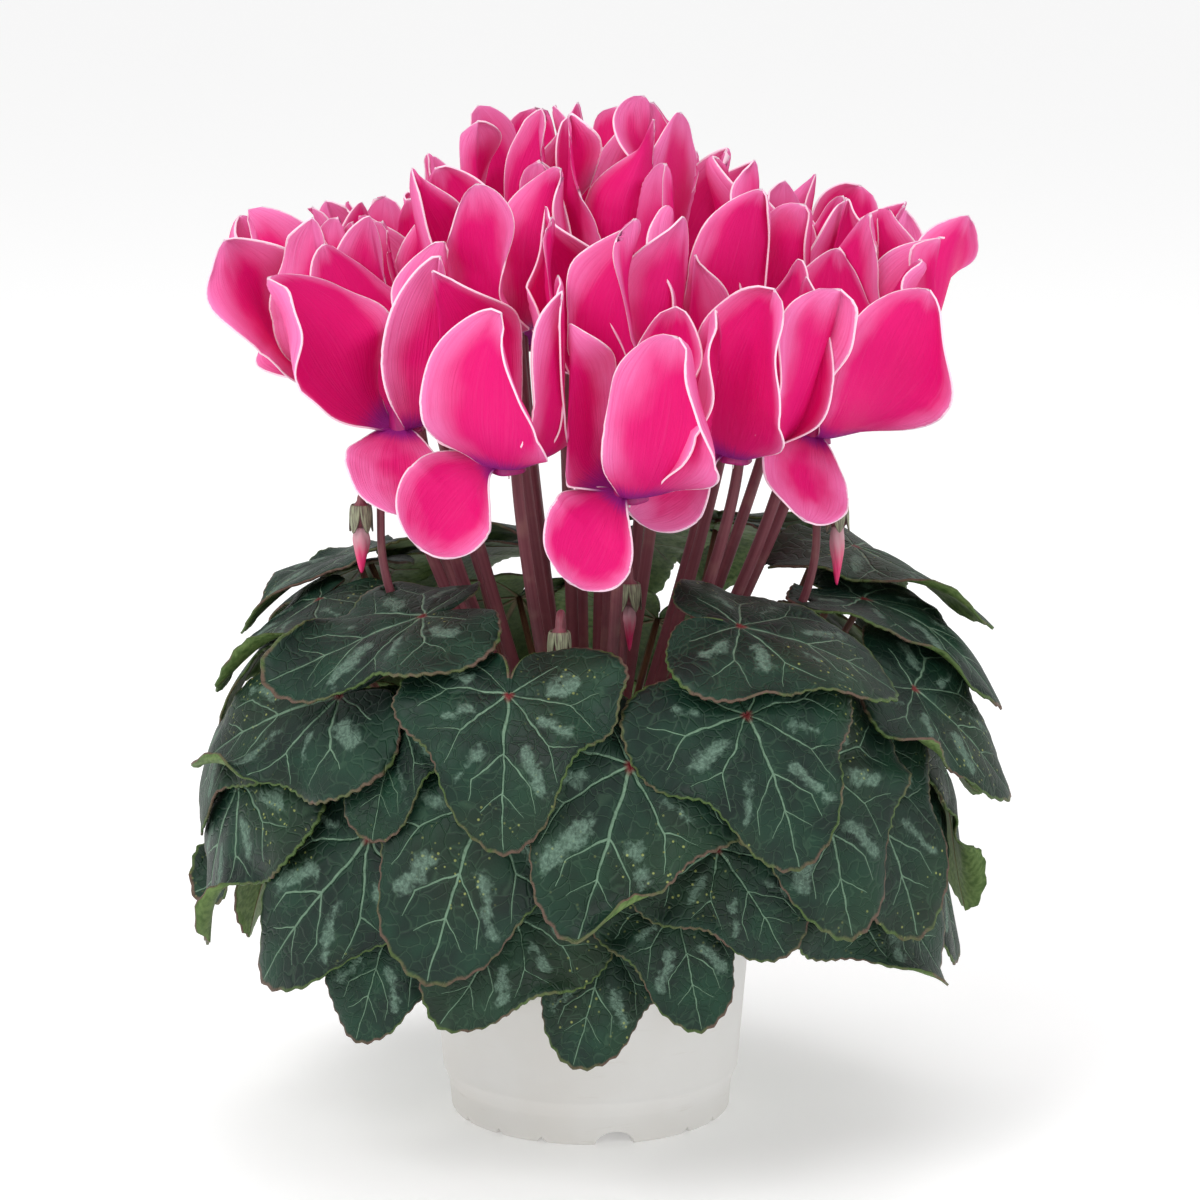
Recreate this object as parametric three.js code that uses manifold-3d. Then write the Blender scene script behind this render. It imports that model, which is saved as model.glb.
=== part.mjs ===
// Potted cyclamen: a plain tapered pot of soil, a tuber in its hollow, and the stems, blooms,
// buds and leaves that grow from it. Millimetres, +Z up. The origin is on the pot's axis, on the
// surface that it stands on. The front, with the lowest blooms, faces -Y, and +X is on its right.
import * as THREE from "three";
import { mergeVertices } from "three/addons/utils/BufferGeometryUtils.js";
import Module from "manifold-3d";

const wasm = await Module();
wasm.setup();

// ---- driving dimensions ------------------------------------------------------------------------

const SHORTEST = 0.3; // edges shorter than this are drawn together after a join or cut
const GAP = 0.45; // clearance between pieces that rest on each other

const POT = {
  height: 104,
  rimRadius: 65.2,
  rimDrop: 6,
  topRadius: 64,
  shoulderRadius: 57, // where the wall meets the foot
  shoulderHeight: 17,
  footRadius: 54,
  footHeight: 11,
  wall: 1.6,
  ringWidth: 4.5, // of the flat ring that the pot stands on
  baseHeight: 5.2, // of the base's underside
  sides: 36,
};
const FOOT_PATTERNS = 3; // the foot's cut edge repeats this many times round the pot
const ARCH = { at: 10, width: 15, height: 5.2 };
const NOTCHES = { at: [-60, -40, -20, 43], width: 4, height: 2.6 };
const DRAIN = { holes: 5, radius: 4, circle: 36, sides: 6 };

const SOIL_SIDES = 24;
const SOIL_TOP = 93;
const SOIL_MOUND = 2.5; // how much the soil rises towards the tuber
const TUBER = { radius: 27, halfHeight: 17, z: 88, sides: 12, rings: 7 };

const FAN_Z = -200; // every bloom's axis passes through this point of the pot's axis
const STEM = { foot: 9.5, far: 104, spread: 0.56, lift: 1.2, base: 2.5, tip: 2, sides: 5, bow: 0.25 };
const STEM_SECTORS = 6;
const STEM_PLATE = { inner: 1.5, outer: 13.5, thick: 2.4, slit: 0.3 };
const HOOK = { reach: 10.4, height: 16, dip: 6 }; // the stem's turn into the calyx
const CALYX = { radius: 4.1, top: 9.9 };

const CUP = { mouth: 6.6, top: 4.4, height: 9.5, lip: -1, sides: 5 }; // the corolla's short tube
const PETAL = {
  thickness: 0.8,
  rows: [0, 0.15, 0.42, 0.74, 0.96],
  columns: 2,
  length: 71,
  halfWidth: 21.5,
  root: 4.2, // where its midline starts, inside the tube
  rootHalfWidth: 2.6,
  flare: 17,
  flareLength: 0.2,
  turn: 0.07,
  widest: 0.64,
};
const PETALS = 5;
const CELL_MARGIN = 0.75; // from a bloom's petals to the plane it shares with its neighbour
const CELL_EASE = 0.68; // the share of the way there at which a petal starts to bend

// Blooms at the front and sides: bearing from the front, radius, height of the mouth, turn of the
// stem's side, and the petals that hang (by number, counted from the outward one).
const SHOWN_BLOOMS = [
  { bearing: -46, radius: 92, mouth: 273, turn: 20, hanging: [0] },
  { bearing: -17, radius: 98, mouth: 264, turn: 4, hanging: [4] },
  { bearing: 8, radius: 102, mouth: 255, turn: 8, hanging: [4] },
  { bearing: 36, radius: 88, mouth: 264, turn: -50, hanging: [4] },
  { bearing: 59, radius: 95, mouth: 268, turn: -14, hanging: [4] },
  { bearing: 83, radius: 98, mouth: 282, turn: 15, hanging: [] },
  { bearing: -76, radius: 92, mouth: 282, turn: -8, hanging: [] },
];
// The hidden sides and the middle are filled by rings of evenly spaced blooms.
const BLOOM_RINGS = [
  { count: 6, from: 110, to: 257, radius: 92, mouth: 284, stagger: 0 },
  { count: 8, from: 5, to: 320, radius: 58, mouth: 293, stagger: 9 },
  { count: 3, from: 30, to: 270, radius: 20, mouth: 318, stagger: 0 },
];

// Buds: bearing, radius and height of the hook's top, and the length of the furled petals.
const BUDS = [
  { bearing: -55, radius: 97, top: 250, length: 17, girth: 3.1 },
  { bearing: 61, radius: 99, top: 249, length: 22, girth: 2.7 },
  { bearing: -6, radius: 98, top: 212, length: 14, girth: 3.4 },
  { bearing: 13, radius: 60, top: 222, length: 17, girth: 2.3 },
];
const BUD = { hook: 4.2, calyxLength: 9, calyxRadius: 3.4, stem: 1.5, sides: 6 };

// The leaves lie on a mound, like slates: each hangs from its stalk's end, tip down, and rises
// from the mound towards its tip.
const MOUND = {
  radius: 131, height: 124, z: 72, forward: 2, size: 140, rise: 0.16, undulation: 6, square: 3.8,
};
const LEAF = {
  thickness: 0.9, around: 12, rings: [0, 0.58, 1], layer: 5.6, wave: 1, scallop: 0.03,
};
// How far a leaf reaches at an angle from its tip, as a share of its length.
const LEAF_OUTLINE = [
  [0, 1.0], [14, 0.88], [29, 0.72], [45, 0.63], [62, 0.61], [82, 0.64], [104, 0.62],
  [128, 0.54], [150, 0.44], [166, 0.3], [176, 0.1],
];
const STALK = { foot: 18, lift: 2, base: 1.9, tip: 1.3, sides: 3, segments: 4 };
const LEAF_SECTORS = 18;
// Leaves at the front and sides: angle down the mound, bearing, heading (0 is straight down the
// mound, positive to the right), and length from the stalk's end to the tip.
const SHOWN_LEAVES = [
  [35, -36, -43, 46], [47, -12, 3, 44], [49, -32, 2, 38], [47, -47, -56, 56],
  [37, -86, 40, 46], [34, -112, 50, 44], [44, -104, 30, 52], [38, 28, 60, 48],
  [50, 23, 12, 45], [64, 19, 32, 45], [54, 6, -19, 56], [57, -15, -18, 66],
  [64, -35, -34, 66], [62, -64, -18, 62], [73, -11, -34, 52], [76, 3, -15, 50],
  [71, 13, 8, 46], [57, 44, 11, 58], [70, 46, 34, 54], [50, 63, 28, 47],
  [34, 100, -40, 46], [37, 80, -6, 50], [64, -86, -8, 54], [56, 33, 6, 54],
  [72, 70, 8, 46], [52, 102, -6, 52], [52, -69, -24, 52], [76, -32, -12, 46],
  [64, 90, -10, 54],
];
// The leaves of the hidden side.
const LEAF_RINGS = [
  { count: 5, from: 122, to: 232, down: 36, length: 48 },
  { count: 6, from: 114, to: 246, down: 52, length: 56 },
  { count: 5, from: 114, to: 248, down: 70, length: 58 },
];

const COLOURS = {
  pot: 0xe6e4e2, soil: 0x3a2a20, tuber: 0x6b4a35, stem: 0x5a2d37, petal: 0xe8196f,
  bud: 0xe05a8c, leaf: 0x1f3d2c,
};

// ---- small tools -------------------------------------------------------------------------------

const radians = THREE.MathUtils.degToRad;
const { cos, sin, exp, min, max, hypot, PI } = Math;
const point = (x, y, z) => new THREE.Vector3(x, y, z);
const mixed = (a, b, share) => a.clone().lerp(b, share);

/** The point at a bearing from the front, a radius from the pot's axis and a height. */
function polar(bearing, radius, z) {
  return point(radius * sin(radians(bearing)), -radius * cos(radians(bearing)), z);
}

/** A repeatable source of numbers from 0 to 1. */
function seeded(seed) {
  let state = seed >>> 0;
  return () => {
    state = (state + 0x6d2b79f5) >>> 0;
    let t = state;
    t = Math.imul(t ^ (t >>> 15), t | 1);
    t ^= t + Math.imul(t ^ (t >>> 7), t | 61);
    return ((t ^ (t >>> 14)) >>> 0) / 4294967296;
  };
}

/** The value at x of a curve given by points, joined by straight lines. */
function along(points, x) {
  for (let i = 1; i < points.length; i++) {
    const [x0, y0] = points[i - 1];
    const [x1, y1] = points[i];
    if (x <= x1) return y0 + ((y1 - y0) * (x - x0)) / (x1 - x0);
  }
  return points[points.length - 1][1];
}

/** A closed geometry as a solid that can be joined and cut. */
function solidOf(geometry) {
  const bare = geometry.clone();
  bare.deleteAttribute("normal");
  bare.deleteAttribute("uv");
  const merged = mergeVertices(bare, 1e-4);
  const triVerts = withoutSlivers(merged.index.array);
  const vertProperties = new Float32Array(merged.attributes.position.array);
  return new wasm.Manifold(new wasm.Mesh({ numProp: 3, vertProperties, triVerts }));
}

function withoutSlivers(index) {
  const kept = [];
  for (let i = 0; i < index.length; i += 3) {
    const [a, b, c] = [index[i], index[i + 1], index[i + 2]];
    if (a !== b && b !== c && c !== a) kept.push(a, b, c);
  }
  return new Uint32Array(kept);
}

function geometryOf(solid) {
  const mesh = solid.getMesh();
  const geometry = new THREE.BufferGeometry();
  geometry.setAttribute("position", new THREE.BufferAttribute(mesh.vertProperties, 3));
  geometry.setIndex(withoutShortEdges(mesh.vertProperties, mesh.triVerts));
  geometry.computeVertexNormals();
  return geometry;
}

/** Draws together the ends of each edge that a join or cut left too short to matter. */
function withoutShortEdges(places, triangles) {
  const at = (i) => point().fromArray(places, i * 3);
  const faces = new Map(Array.from({ length: triangles.length / 3 }, (_, i) =>
    [i, [triangles[3 * i], triangles[3 * i + 1], triangles[3 * i + 2]]]));
  const around = new Map();
  const touch = (vertex) => around.get(vertex) ?? around.set(vertex, new Set()).get(vertex);
  for (const [id, face] of faces) face.forEach((vertex) => touch(vertex).add(id));
  const ring = (vertex) => new Set([...touch(vertex)].flatMap((id) => faces.get(id)));
  const facing = (face) => {
    const [a, b, c] = face.map(at);
    return b.sub(a).cross(c.sub(a));
  };

  function collapse(keep, drop) {
    const shared = [...touch(drop)].filter((id) => faces.get(id).includes(keep));
    const common = [...ring(keep)].filter((vertex) => ring(drop).has(vertex));
    if (shared.length !== 2 || common.length !== 4) return false;
    const moved = [...touch(drop)].filter((id) => !shared.includes(id));
    const next = moved.map((id) => faces.get(id).map((vertex) => (vertex === drop ? keep : vertex)));
    const turned = moved.some((id, k) => {
      const [before, after] = [facing(faces.get(id)), facing(next[k])];
      if (after.length() < 1e-4) return true;
      return before.length() > 1e-3 && before.normalize().dot(after.normalize()) < 0.7;
    });
    if (turned) return false;
    for (const id of shared) {
      faces.get(id).forEach((vertex) => touch(vertex).delete(id));
      faces.delete(id);
    }
    moved.forEach((id, k) => {
      faces.set(id, next[k]);
      touch(keep).add(id);
    });
    around.delete(drop);
    return true;
  }

  for (let again = true; again; ) {
    again = false;
    for (const id of [...faces.keys()]) {
      const face = faces.get(id);
      if (!face) continue;
      for (const [a, b] of [[face[0], face[1]], [face[1], face[2]], [face[2], face[0]]]) {
        if (at(a).distanceTo(at(b)) < SHORTEST && (collapse(a, b) || collapse(b, a))) {
          again = true;
          break;
        }
      }
    }
  }
  return [...faces.values()].flat();
}

/** The largest piece of a solid, so that no loose scrap is left by a cut. */
function largest(solid) {
  const pieces = solid.decompose();
  pieces.sort((a, b) => b.volume() - a.volume());
  return pieces[0];
}

function joined(solids) {
  return solids.reduce((whole, solid) => whole.add(solid));
}

/** A thin closed blade about the surface at(u, v), u and v from 0 to 1 over the given stations. */
function blade(us, vs, at, thickness) {
  const sheet = new THREE.PlaneGeometry(1, 1, us.length - 1, vs.length - 1);
  const place = sheet.attributes.position;
  for (let i = 0; i < place.count; i++) {
    const u = us[i % us.length];
    const v = vs[Math.floor(i / us.length)];
    place.setXYZ(i, ...at(u, v).toArray());
  }
  sheet.deleteAttribute("normal");
  sheet.deleteAttribute("uv");
  const merged = mergeVertices(sheet, 1e-4);
  merged.setIndex(new THREE.BufferAttribute(withoutSlivers(merged.index.array), 1));
  merged.computeVertexNormals();
  return solidOf(thickened(merged, thickness));
}

/** Both faces of a sheet, split alike, with a rim round every open edge. */
function thickened(sheet, thickness) {
  const { position, normal } = sheet.attributes;
  const count = position.count;
  const places = new Float32Array(count * 6);
  for (let i = 0; i < count; i++) {
    const p = point().fromBufferAttribute(position, i);
    const n = point().fromBufferAttribute(normal, i).multiplyScalar(thickness / 2);
    p.clone().add(n).toArray(places, i * 3);
    p.clone().sub(n).toArray(places, (i + count) * 3);
  }
  const index = sheet.index.array;
  const faces = [];
  const open = new Map();
  for (let i = 0; i < index.length; i += 3) {
    const [a, b, c] = [index[i], index[i + 1], index[i + 2]];
    faces.push(a, b, c, c + count, b + count, a + count);
    for (const [from, to] of [[a, b], [b, c], [c, a]]) {
      if (!open.delete(`${to} ${from}`)) open.set(`${from} ${to}`, [from, to]);
    }
  }
  for (const [from, to] of open.values()) {
    faces.push(from, from + count, to + count, from, to + count, to);
  }
  const closed = new THREE.BufferGeometry();
  closed.setAttribute("position", new THREE.BufferAttribute(places, 3));
  closed.setIndex(faces);
  return closed;
}

/** A closed tube through stations of { at, radius }, with its sides turned about one direction. */
function tube(stations, sides, across) {
  const segments = stations.length - 1;
  const geometry = new THREE.CylinderGeometry(1, 1, segments, sides, segments);
  const place = geometry.attributes.position;
  for (let i = 0; i < place.count; i++) {
    const k = Math.round(place.getY(i) + segments / 2);
    const here = stations[k];
    const before = stations[max(k - 1, 0)].at;
    const after = stations[min(k + 1, segments)].at;
    const forward = after.clone().sub(before).normalize();
    const side = across.clone().addScaledVector(forward, -across.dot(forward)).normalize();
    const other = forward.clone().cross(side);
    const p = here.at.clone();
    p.addScaledVector(side, here.radius * place.getX(i));
    p.addScaledVector(other, -here.radius * place.getZ(i));
    place.setXYZ(i, p.x, p.y, p.z);
  }
  return solidOf(geometry);
}

// ---- pot, soil and tuber -----------------------------------------------------------------------

function wallRadius(z) {
  const climb = (z - POT.shoulderHeight) / (POT.height - POT.shoulderHeight);
  return POT.shoulderRadius + (POT.topRadius - POT.shoulderRadius) * max(climb, 0);
}

function lathe(profile, sides) {
  const points = profile.map(([radius, z]) => new THREE.Vector2(radius, z));
  return solidOf(new THREE.LatheGeometry(points, sides).rotateX(PI / 2));
}

function potSolid() {
  const { height, wall, baseHeight, footRadius, footHeight, rimDrop } = POT;
  const innerBase = baseHeight + wall;
  const rimFoot = height - rimDrop;
  const profile = [
    [0, baseHeight],
    [footRadius - POT.ringWidth - 1.5, baseHeight],
    [footRadius - POT.ringWidth, 0],
    [footRadius - 1.2, 0],
    [footRadius - 0.2, 1.2],
    [footRadius + 0.6, footHeight],
    [POT.shoulderRadius, POT.shoulderHeight],
    [wallRadius(rimFoot), rimFoot],
    [POT.rimRadius, rimFoot + 1],
    [POT.rimRadius + 0.2, height - 0.8],
    [POT.rimRadius - 0.6, height],
    [POT.topRadius - wall, height],
    [POT.shoulderRadius - wall, POT.shoulderHeight],
    [footRadius - wall - 0.8, innerBase],
    [0, innerBase],
  ];
  let pot = lathe(profile, POT.sides);
  for (let k = 0; k < FOOT_PATTERNS; k++) {
    const start = (k * 360) / FOOT_PATTERNS;
    pot = pot.subtract(footCut(start + ARCH.at, ARCH, 7));
    for (const at of NOTCHES.at) pot = pot.subtract(footCut(start + at, NOTCHES, 2));
  }
  for (let k = 0; k < DRAIN.holes; k++) {
    const hole = new THREE.CylinderGeometry(DRAIN.radius, DRAIN.radius, 12, DRAIN.sides);
    const at = polar((k * 360) / DRAIN.holes + 20, DRAIN.circle, baseHeight);
    pot = pot.subtract(solidOf(hole.rotateX(PI / 2).translate(at.x, at.y, at.z)));
  }
  return pot;
}

/** A cut through the foot's ring: an arch with the given steps, or a notch if it has two. */
function footCut(bearing, cut, steps) {
  const shape = new THREE.Shape();
  shape.moveTo(-cut.width / 2, -1);
  for (let k = 0; k <= steps; k++) {
    const angle = PI - (PI * k) / steps;
    shape.lineTo((cut.width / 2) * cos(angle), cut.height * sin(angle));
  }
  shape.lineTo(cut.width / 2, -1);
  const geometry = new THREE.ExtrudeGeometry(shape, { depth: 12, bevelEnabled: false });
  geometry.rotateX(PI / 2); // the arch stands up, and its depth runs along -Y
  geometry.translate(0, -POT.footRadius + 8, 0);
  geometry.rotateZ(radians(bearing));
  return solidOf(geometry);
}

function tuberSolid(grow = 0) {
  const ball = new THREE.SphereGeometry(1, TUBER.sides, TUBER.rings).rotateX(PI / 2);
  const place = ball.attributes.position;
  for (let i = 0; i < place.count; i++) {
    const [x, y, z] = [place.getX(i), place.getY(i), place.getZ(i)];
    const lumps = 1 + 0.04 * sin(3 * Math.atan2(y, x) + 1) * (1 - z * z);
    const radius = TUBER.radius * lumps + grow;
    place.setXYZ(i, x * radius, y * radius, TUBER.z + z * (TUBER.halfHeight + grow));
  }
  return solidOf(ball);
}

function soilSolid() {
  const floor = POT.baseHeight + POT.wall + GAP;
  const edge = wallRadius(SOIL_TOP) - POT.wall - GAP;
  const profile = [
    [0, floor],
    [POT.footRadius - POT.wall - 1.2, floor],
    [POT.shoulderRadius - POT.wall - 0.4, POT.shoulderHeight],
    [edge, SOIL_TOP - 1],
    [edge - 6, SOIL_TOP],
    [TUBER.radius + 6, SOIL_TOP + SOIL_MOUND],
    [0, SOIL_TOP + SOIL_MOUND],
  ];
  return lathe(profile, SOIL_SIDES).subtract(tuberSolid(GAP));
}

/** The height of the tuber's top at a radius. */
function crown(radius) {
  return TUBER.z + TUBER.halfHeight * Math.sqrt(max(1 - (radius / TUBER.radius) ** 2, 0));
}

// ---- blooms ------------------------------------------------------------------------------------

function spread({ count, from, to }) {
  return Array.from({ length: count }, (_, k) => from + ((to - from) * k) / max(count - 1, 1));
}

const random = seeded(20);
const between = (low, high) => low + (high - low) * random();

function bloomPlaces() {
  const blooms = SHOWN_BLOOMS.map((bloom) => ({ ...bloom }));
  for (const ring of BLOOM_RINGS) {
    spread(ring).forEach((bearing, k) => {
      const inward = k % 2 ? ring.stagger : -ring.stagger;
      blooms.push({
        bearing: bearing + between(-3, 3),
        radius: ring.radius - inward + between(-2, 2),
        mouth: ring.mouth + 0.8 * inward + between(-3, 3),
        turn: between(-25, 25),
        hanging: [],
      });
    });
  }
  for (const bloom of blooms) {
    bloom.at = polar(bloom.bearing, bloom.radius, bloom.mouth);
    bloom.axis = bloom.at.clone().sub(point(0, 0, FAN_Z)).normalize();
    const out = polar(bloom.bearing, 1, 0);
    bloom.out = out.addScaledVector(bloom.axis, -out.dot(bloom.axis)).normalize();
    bloom.side = bloom.axis.clone().cross(bloom.out);
    bloom.petals = Array.from({ length: PETALS }, (_, k) => petalForm(bloom, k));
  }
  return blooms;
}

/** One petal's own size, lift, twist and waves. */
function petalForm(bloom, k) {
  const bearing = (k * 360) / PETALS;
  const hangs = bloom.hanging.includes(k);
  const away = bloom.bearing + bearing + bloom.turn; // from the front
  const beside = k === 2 ? -17 : k === 3 ? 17 : 0; // leaves room for the stem
  return {
    bearing: bearing + bloom.turn,
    shift: beside,
    length: hangs ? 38 : PETAL.length * between(0.93, 1.06),
    halfWidth: (hangs ? 0.84 : 1) * PETAL.halfWidth * between(0.95, 1.12),
    flare: hangs ? 6 : PETAL.flare * between(0.9, 1.1),
    lift: hangs ? between(-52, -36) : between(70, 80),
    sweep: between(6, 24),
    twist: hangs ? between(50, 70) * Math.abs(sin(radians(away))) : between(24, 50),
    cup: between(0.05, 0.22),
    wave: between(0.8, 2.4),
    phase: between(0, 6.28),
    hangs,
  };
}

function petalHalfWidth(form, t) {
  const { widest, rootHalfWidth } = PETAL;
  if (t < widest) {
    const share = sin((PI / 2) * (t / widest)) ** 1.15;
    return rootHalfWidth + (form.halfWidth - rootHalfWidth) * share;
  }
  const q = (t - widest) / (1 - widest);
  return form.halfWidth * max(1 - q ** 2.3, 0) ** 0.62 + 0.5;
}

/** A point of a petal's middle surface: t runs from root to tip, w from -1 to 1 across it. */
function petalPoint(bloom, form, t, w) {
  const lift = radians(form.lift);
  const settle = 1 - exp(-t / PETAL.turn);
  const run = form.length * (t - PETAL.turn * settle);
  const flared = form.flare * (1 - exp(-t / PETAL.flareLength));
  const rho = PETAL.root + flared + run * cos(lift);
  const zeta = 1.2 + run * sin(lift);
  const outward = (form.flare / PETAL.flareLength) * exp(-t / PETAL.flareLength)
    + form.length * settle * cos(lift);
  const slope = Math.atan2(form.length * settle * sin(lift), outward);
  const turn = radians(form.bearing + form.shift * min(t / 0.2, 1) + form.sweep * t);
  const out = bloom.out.clone().multiplyScalar(cos(turn)).addScaledVector(bloom.side, sin(turn));
  const around = bloom.axis.clone().cross(out);
  const face = out.clone().multiplyScalar(sin(slope)).addScaledVector(bloom.axis, -cos(slope));
  const twist = radians(form.twist) * min(1, 2.2 * t);
  const half = petalHalfWidth(form, t);
  const lateral = around.clone().multiplyScalar(cos(twist)).addScaledVector(face, sin(twist));
  const normal = face.clone().multiplyScalar(cos(twist)).addScaledVector(around, -sin(twist));
  const bend = half * form.cup * w * w * (1.6 * t - 0.9)
    + form.wave * w * w * t * sin(9 * t + form.phase + 1.5 * w);
  const p = bloom.at.clone().addScaledVector(out, rho).addScaledVector(bloom.axis, zeta);
  p.addScaledVector(lateral, half * w).addScaledVector(normal, bend);
  return form.hangs ? p : heldInCell(bloom, p);
}

/** Moves a point towards its bloom's axis, so that it stays on this side of every neighbour. */
function heldInCell(bloom, p) {
  const apex = point(0, 0, FAN_Z);
  const centre = apex.clone().addScaledVector(bloom.axis, p.clone().sub(apex).dot(bloom.axis));
  const reach = p.distanceTo(centre);
  if (reach < 1e-6) return p;
  const way = p.clone().sub(centre).divideScalar(reach);
  let limit = Infinity;
  for (const other of blooms) {
    if (other === bloom) continue;
    const across = other.axis.clone().sub(bloom.axis).normalize();
    const towards = way.dot(across);
    if (towards < 1e-3) continue;
    const room = -centre.clone().sub(apex).dot(across) - CELL_MARGIN;
    limit = min(limit, room / towards);
  }
  const share = reach / limit;
  if (share <= CELL_EASE) return p;
  const rest = 1 - CELL_EASE;
  const held = CELL_EASE + rest * (1 - exp(-(share - CELL_EASE) / rest));
  return centre.addScaledVector(way, limit * held);
}

function cupSolid(bloom) {
  const { mouth, top, height, lip, sides } = CUP;
  const cup = new THREE.CylinderGeometry(top, mouth, height - lip, sides);
  cup.translate(0, (height + lip) / 2, 0);
  cup.rotateY(PI / sides); // a flat side faces each petal
  const frame = new THREE.Matrix4();
  const turned = radians(bloom.turn);
  const out = bloom.out.clone().multiplyScalar(cos(turned));
  out.addScaledVector(bloom.side, sin(turned));
  frame.makeBasis(out.clone().cross(bloom.axis).negate(), bloom.axis, out);
  frame.setPosition(bloom.at);
  return solidOf(cup.applyMatrix4(frame));
}

function bloomSolid(bloom) {
  const across = Array.from({ length: PETAL.columns + 1 }, (_, i) => (2 * i) / PETAL.columns - 1);
  const solids = bloom.petals.map((form) =>
    blade(across, PETAL.rows, (w, t) => petalPoint(bloom, form, t, w), PETAL.thickness));
  return largest(joined([cupSolid(bloom), ...solids]));
}

// ---- stems, calyces and buds -------------------------------------------------------------------

function curve(start, control, end, share) {
  return mixed(mixed(start, control, share), mixed(control, end, share), share);
}

function sectorOf(bearing, sectors) {
  return Math.floor((((bearing % 360) + 360) % 360) / (360 / sectors));
}

function sectorBearing(sector, sectors) {
  return ((sector + 0.5) * 360) / sectors;
}

/** Where a flower stem starts: further out, the further out its bloom is. */
function stemFoot(bearing, radius) {
  const middle = sectorBearing(sectorOf(bearing, STEM_SECTORS), STEM_SECTORS);
  const turned = radians(bearing - middle);
  const within = middle + STEM.spread * THREE.MathUtils.radToDeg(Math.atan2(sin(turned), cos(turned)));
  return polar(within, STEM.foot * (0.25 + radius / STEM.far), crown(0) + STEM.lift);
}

function stemSolid(bloom, grow = 0) {
  const turn = radians(180 + bloom.turn);
  const gapSide = bloom.out.clone().multiplyScalar(cos(turn)).addScaledVector(bloom.side, sin(turn));
  const local = (rho, zeta) => bloom.at.clone().addScaledVector(gapSide, rho)
    .addScaledVector(bloom.axis, zeta);
  const start = stemFoot(bloom.bearing, bloom.radius);
  const end = local(HOOK.reach, -HOOK.dip);
  const control = end.clone().addScaledVector(bloom.axis, -STEM.bow * end.distanceTo(start));
  const stations = [0, 0.3, 0.65, 1].map((share) => ({
    at: curve(start, control, end, share),
    radius: STEM.base + (STEM.tip - STEM.base) * share + grow,
  }));
  const half = HOOK.reach / 2;
  for (const angle of [0, 60, 120]) {
    const at = local(half + half * cos(radians(angle)), HOOK.height + half * sin(radians(angle)));
    stations.push({ at, radius: STEM.tip + grow });
  }
  stations.push({ at: local(0, HOOK.height), radius: STEM.tip + 0.3 + grow });
  stations.push({ at: local(0, CALYX.top - grow), radius: CALYX.radius + grow });
  return tube(stations, STEM.sides, bloom.side);
}

function budPlaces() {
  return BUDS.map((bud) => {
    const out = polar(bud.bearing, 1, 0);
    return { ...bud, out, peak: polar(bud.bearing, bud.radius, bud.top) };
  });
}

/** A point of a bud's hook: how far out and up it is from the hook's centre. */
function budStem(bud, grow = 0) {
  const { hook } = BUD;
  const local = (out, up) => bud.peak.clone().addScaledVector(bud.out, out).add(point(0, 0, up));
  const start = stemFoot(bud.bearing, bud.radius * 0.7);
  const end = local(-hook, -hook - 14);
  const control = end.clone().add(point(0, 0, -0.3 * end.distanceTo(start)));
  const stations = [0, 0.35, 0.7, 1].map((share) => ({
    at: curve(start, control, end, share),
    radius: STEM.base - 0.4 + (BUD.stem - STEM.base + 0.4) * share + grow,
  }));
  for (const angle of [180, 120, 60, 0]) {
    const at = local(hook * cos(radians(angle)), hook * sin(radians(angle)) - hook);
    stations.push({ at, radius: BUD.stem + grow });
  }
  stations.push({ at: local(hook, -hook - 0.45 * BUD.calyxLength), radius: BUD.calyxRadius + grow });
  stations.push({ at: local(hook, -hook - BUD.calyxLength), radius: bud.girth + 0.2 + grow });
  return tube(stations, STEM.sides, point(0, 0, 1).cross(bud.out));
}

function budSolid(bud, grow = 0) {
  const { hook, calyxLength, sides } = BUD;
  const top = bud.peak.clone().addScaledVector(bud.out, hook);
  top.z -= hook + calyxLength + GAP;
  const stations = [[0, 0.8], [0.3, 1], [0.65, 0.62], [0.9, 0.3], [1, 0.1]].map(([down, share]) => ({
    at: top.clone().add(point(0, 0, -down * bud.length)),
    radius: bud.girth * share + grow,
  }));
  return tube(stations, sides, bud.out);
}

/** The wedge on the tuber's top in which the stems of one sector are rooted. */
function footOn(sector, sectors, { inner, outer, thick, slit }) {
  const half = radians(180 / sectors);
  const shape = new THREE.Shape();
  const corners = [[inner, -half], [outer, -half], [outer * 1.06, 0], [outer, half], [inner, half]];
  corners.forEach(([radius, angle], i) => {
    const shrunk = Math.sign(angle) * (Math.abs(angle) - slit / radius);
    const [x, y] = [radius * sin(shrunk), -radius * cos(shrunk)];
    if (i) shape.lineTo(x, y);
    else shape.moveTo(x, y);
  });
  const wedge = new THREE.ExtrudeGeometry(shape, { depth: thick, bevelEnabled: false });
  wedge.rotateZ(radians(sectorBearing(sector, sectors)));
  return solidOf(wedge.translate(0, 0, crown(inner) + GAP));
}

/** The stems of one sector, which start together on the tuber. */
function stemsSolid(sector) {
  const mine = (thing) => sectorOf(thing.bearing, STEM_SECTORS) === sector;
  const stems = blooms.filter(mine).map((bloom) => stemSolid(bloom));
  const hooks = buds.filter(mine).map((bud) => budStem(bud));
  return joined([footOn(sector, STEM_SECTORS, STEM_PLATE), ...stems, ...hooks]);
}

// ---- leaves ------------------------------------------------------------------------------------

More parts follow.
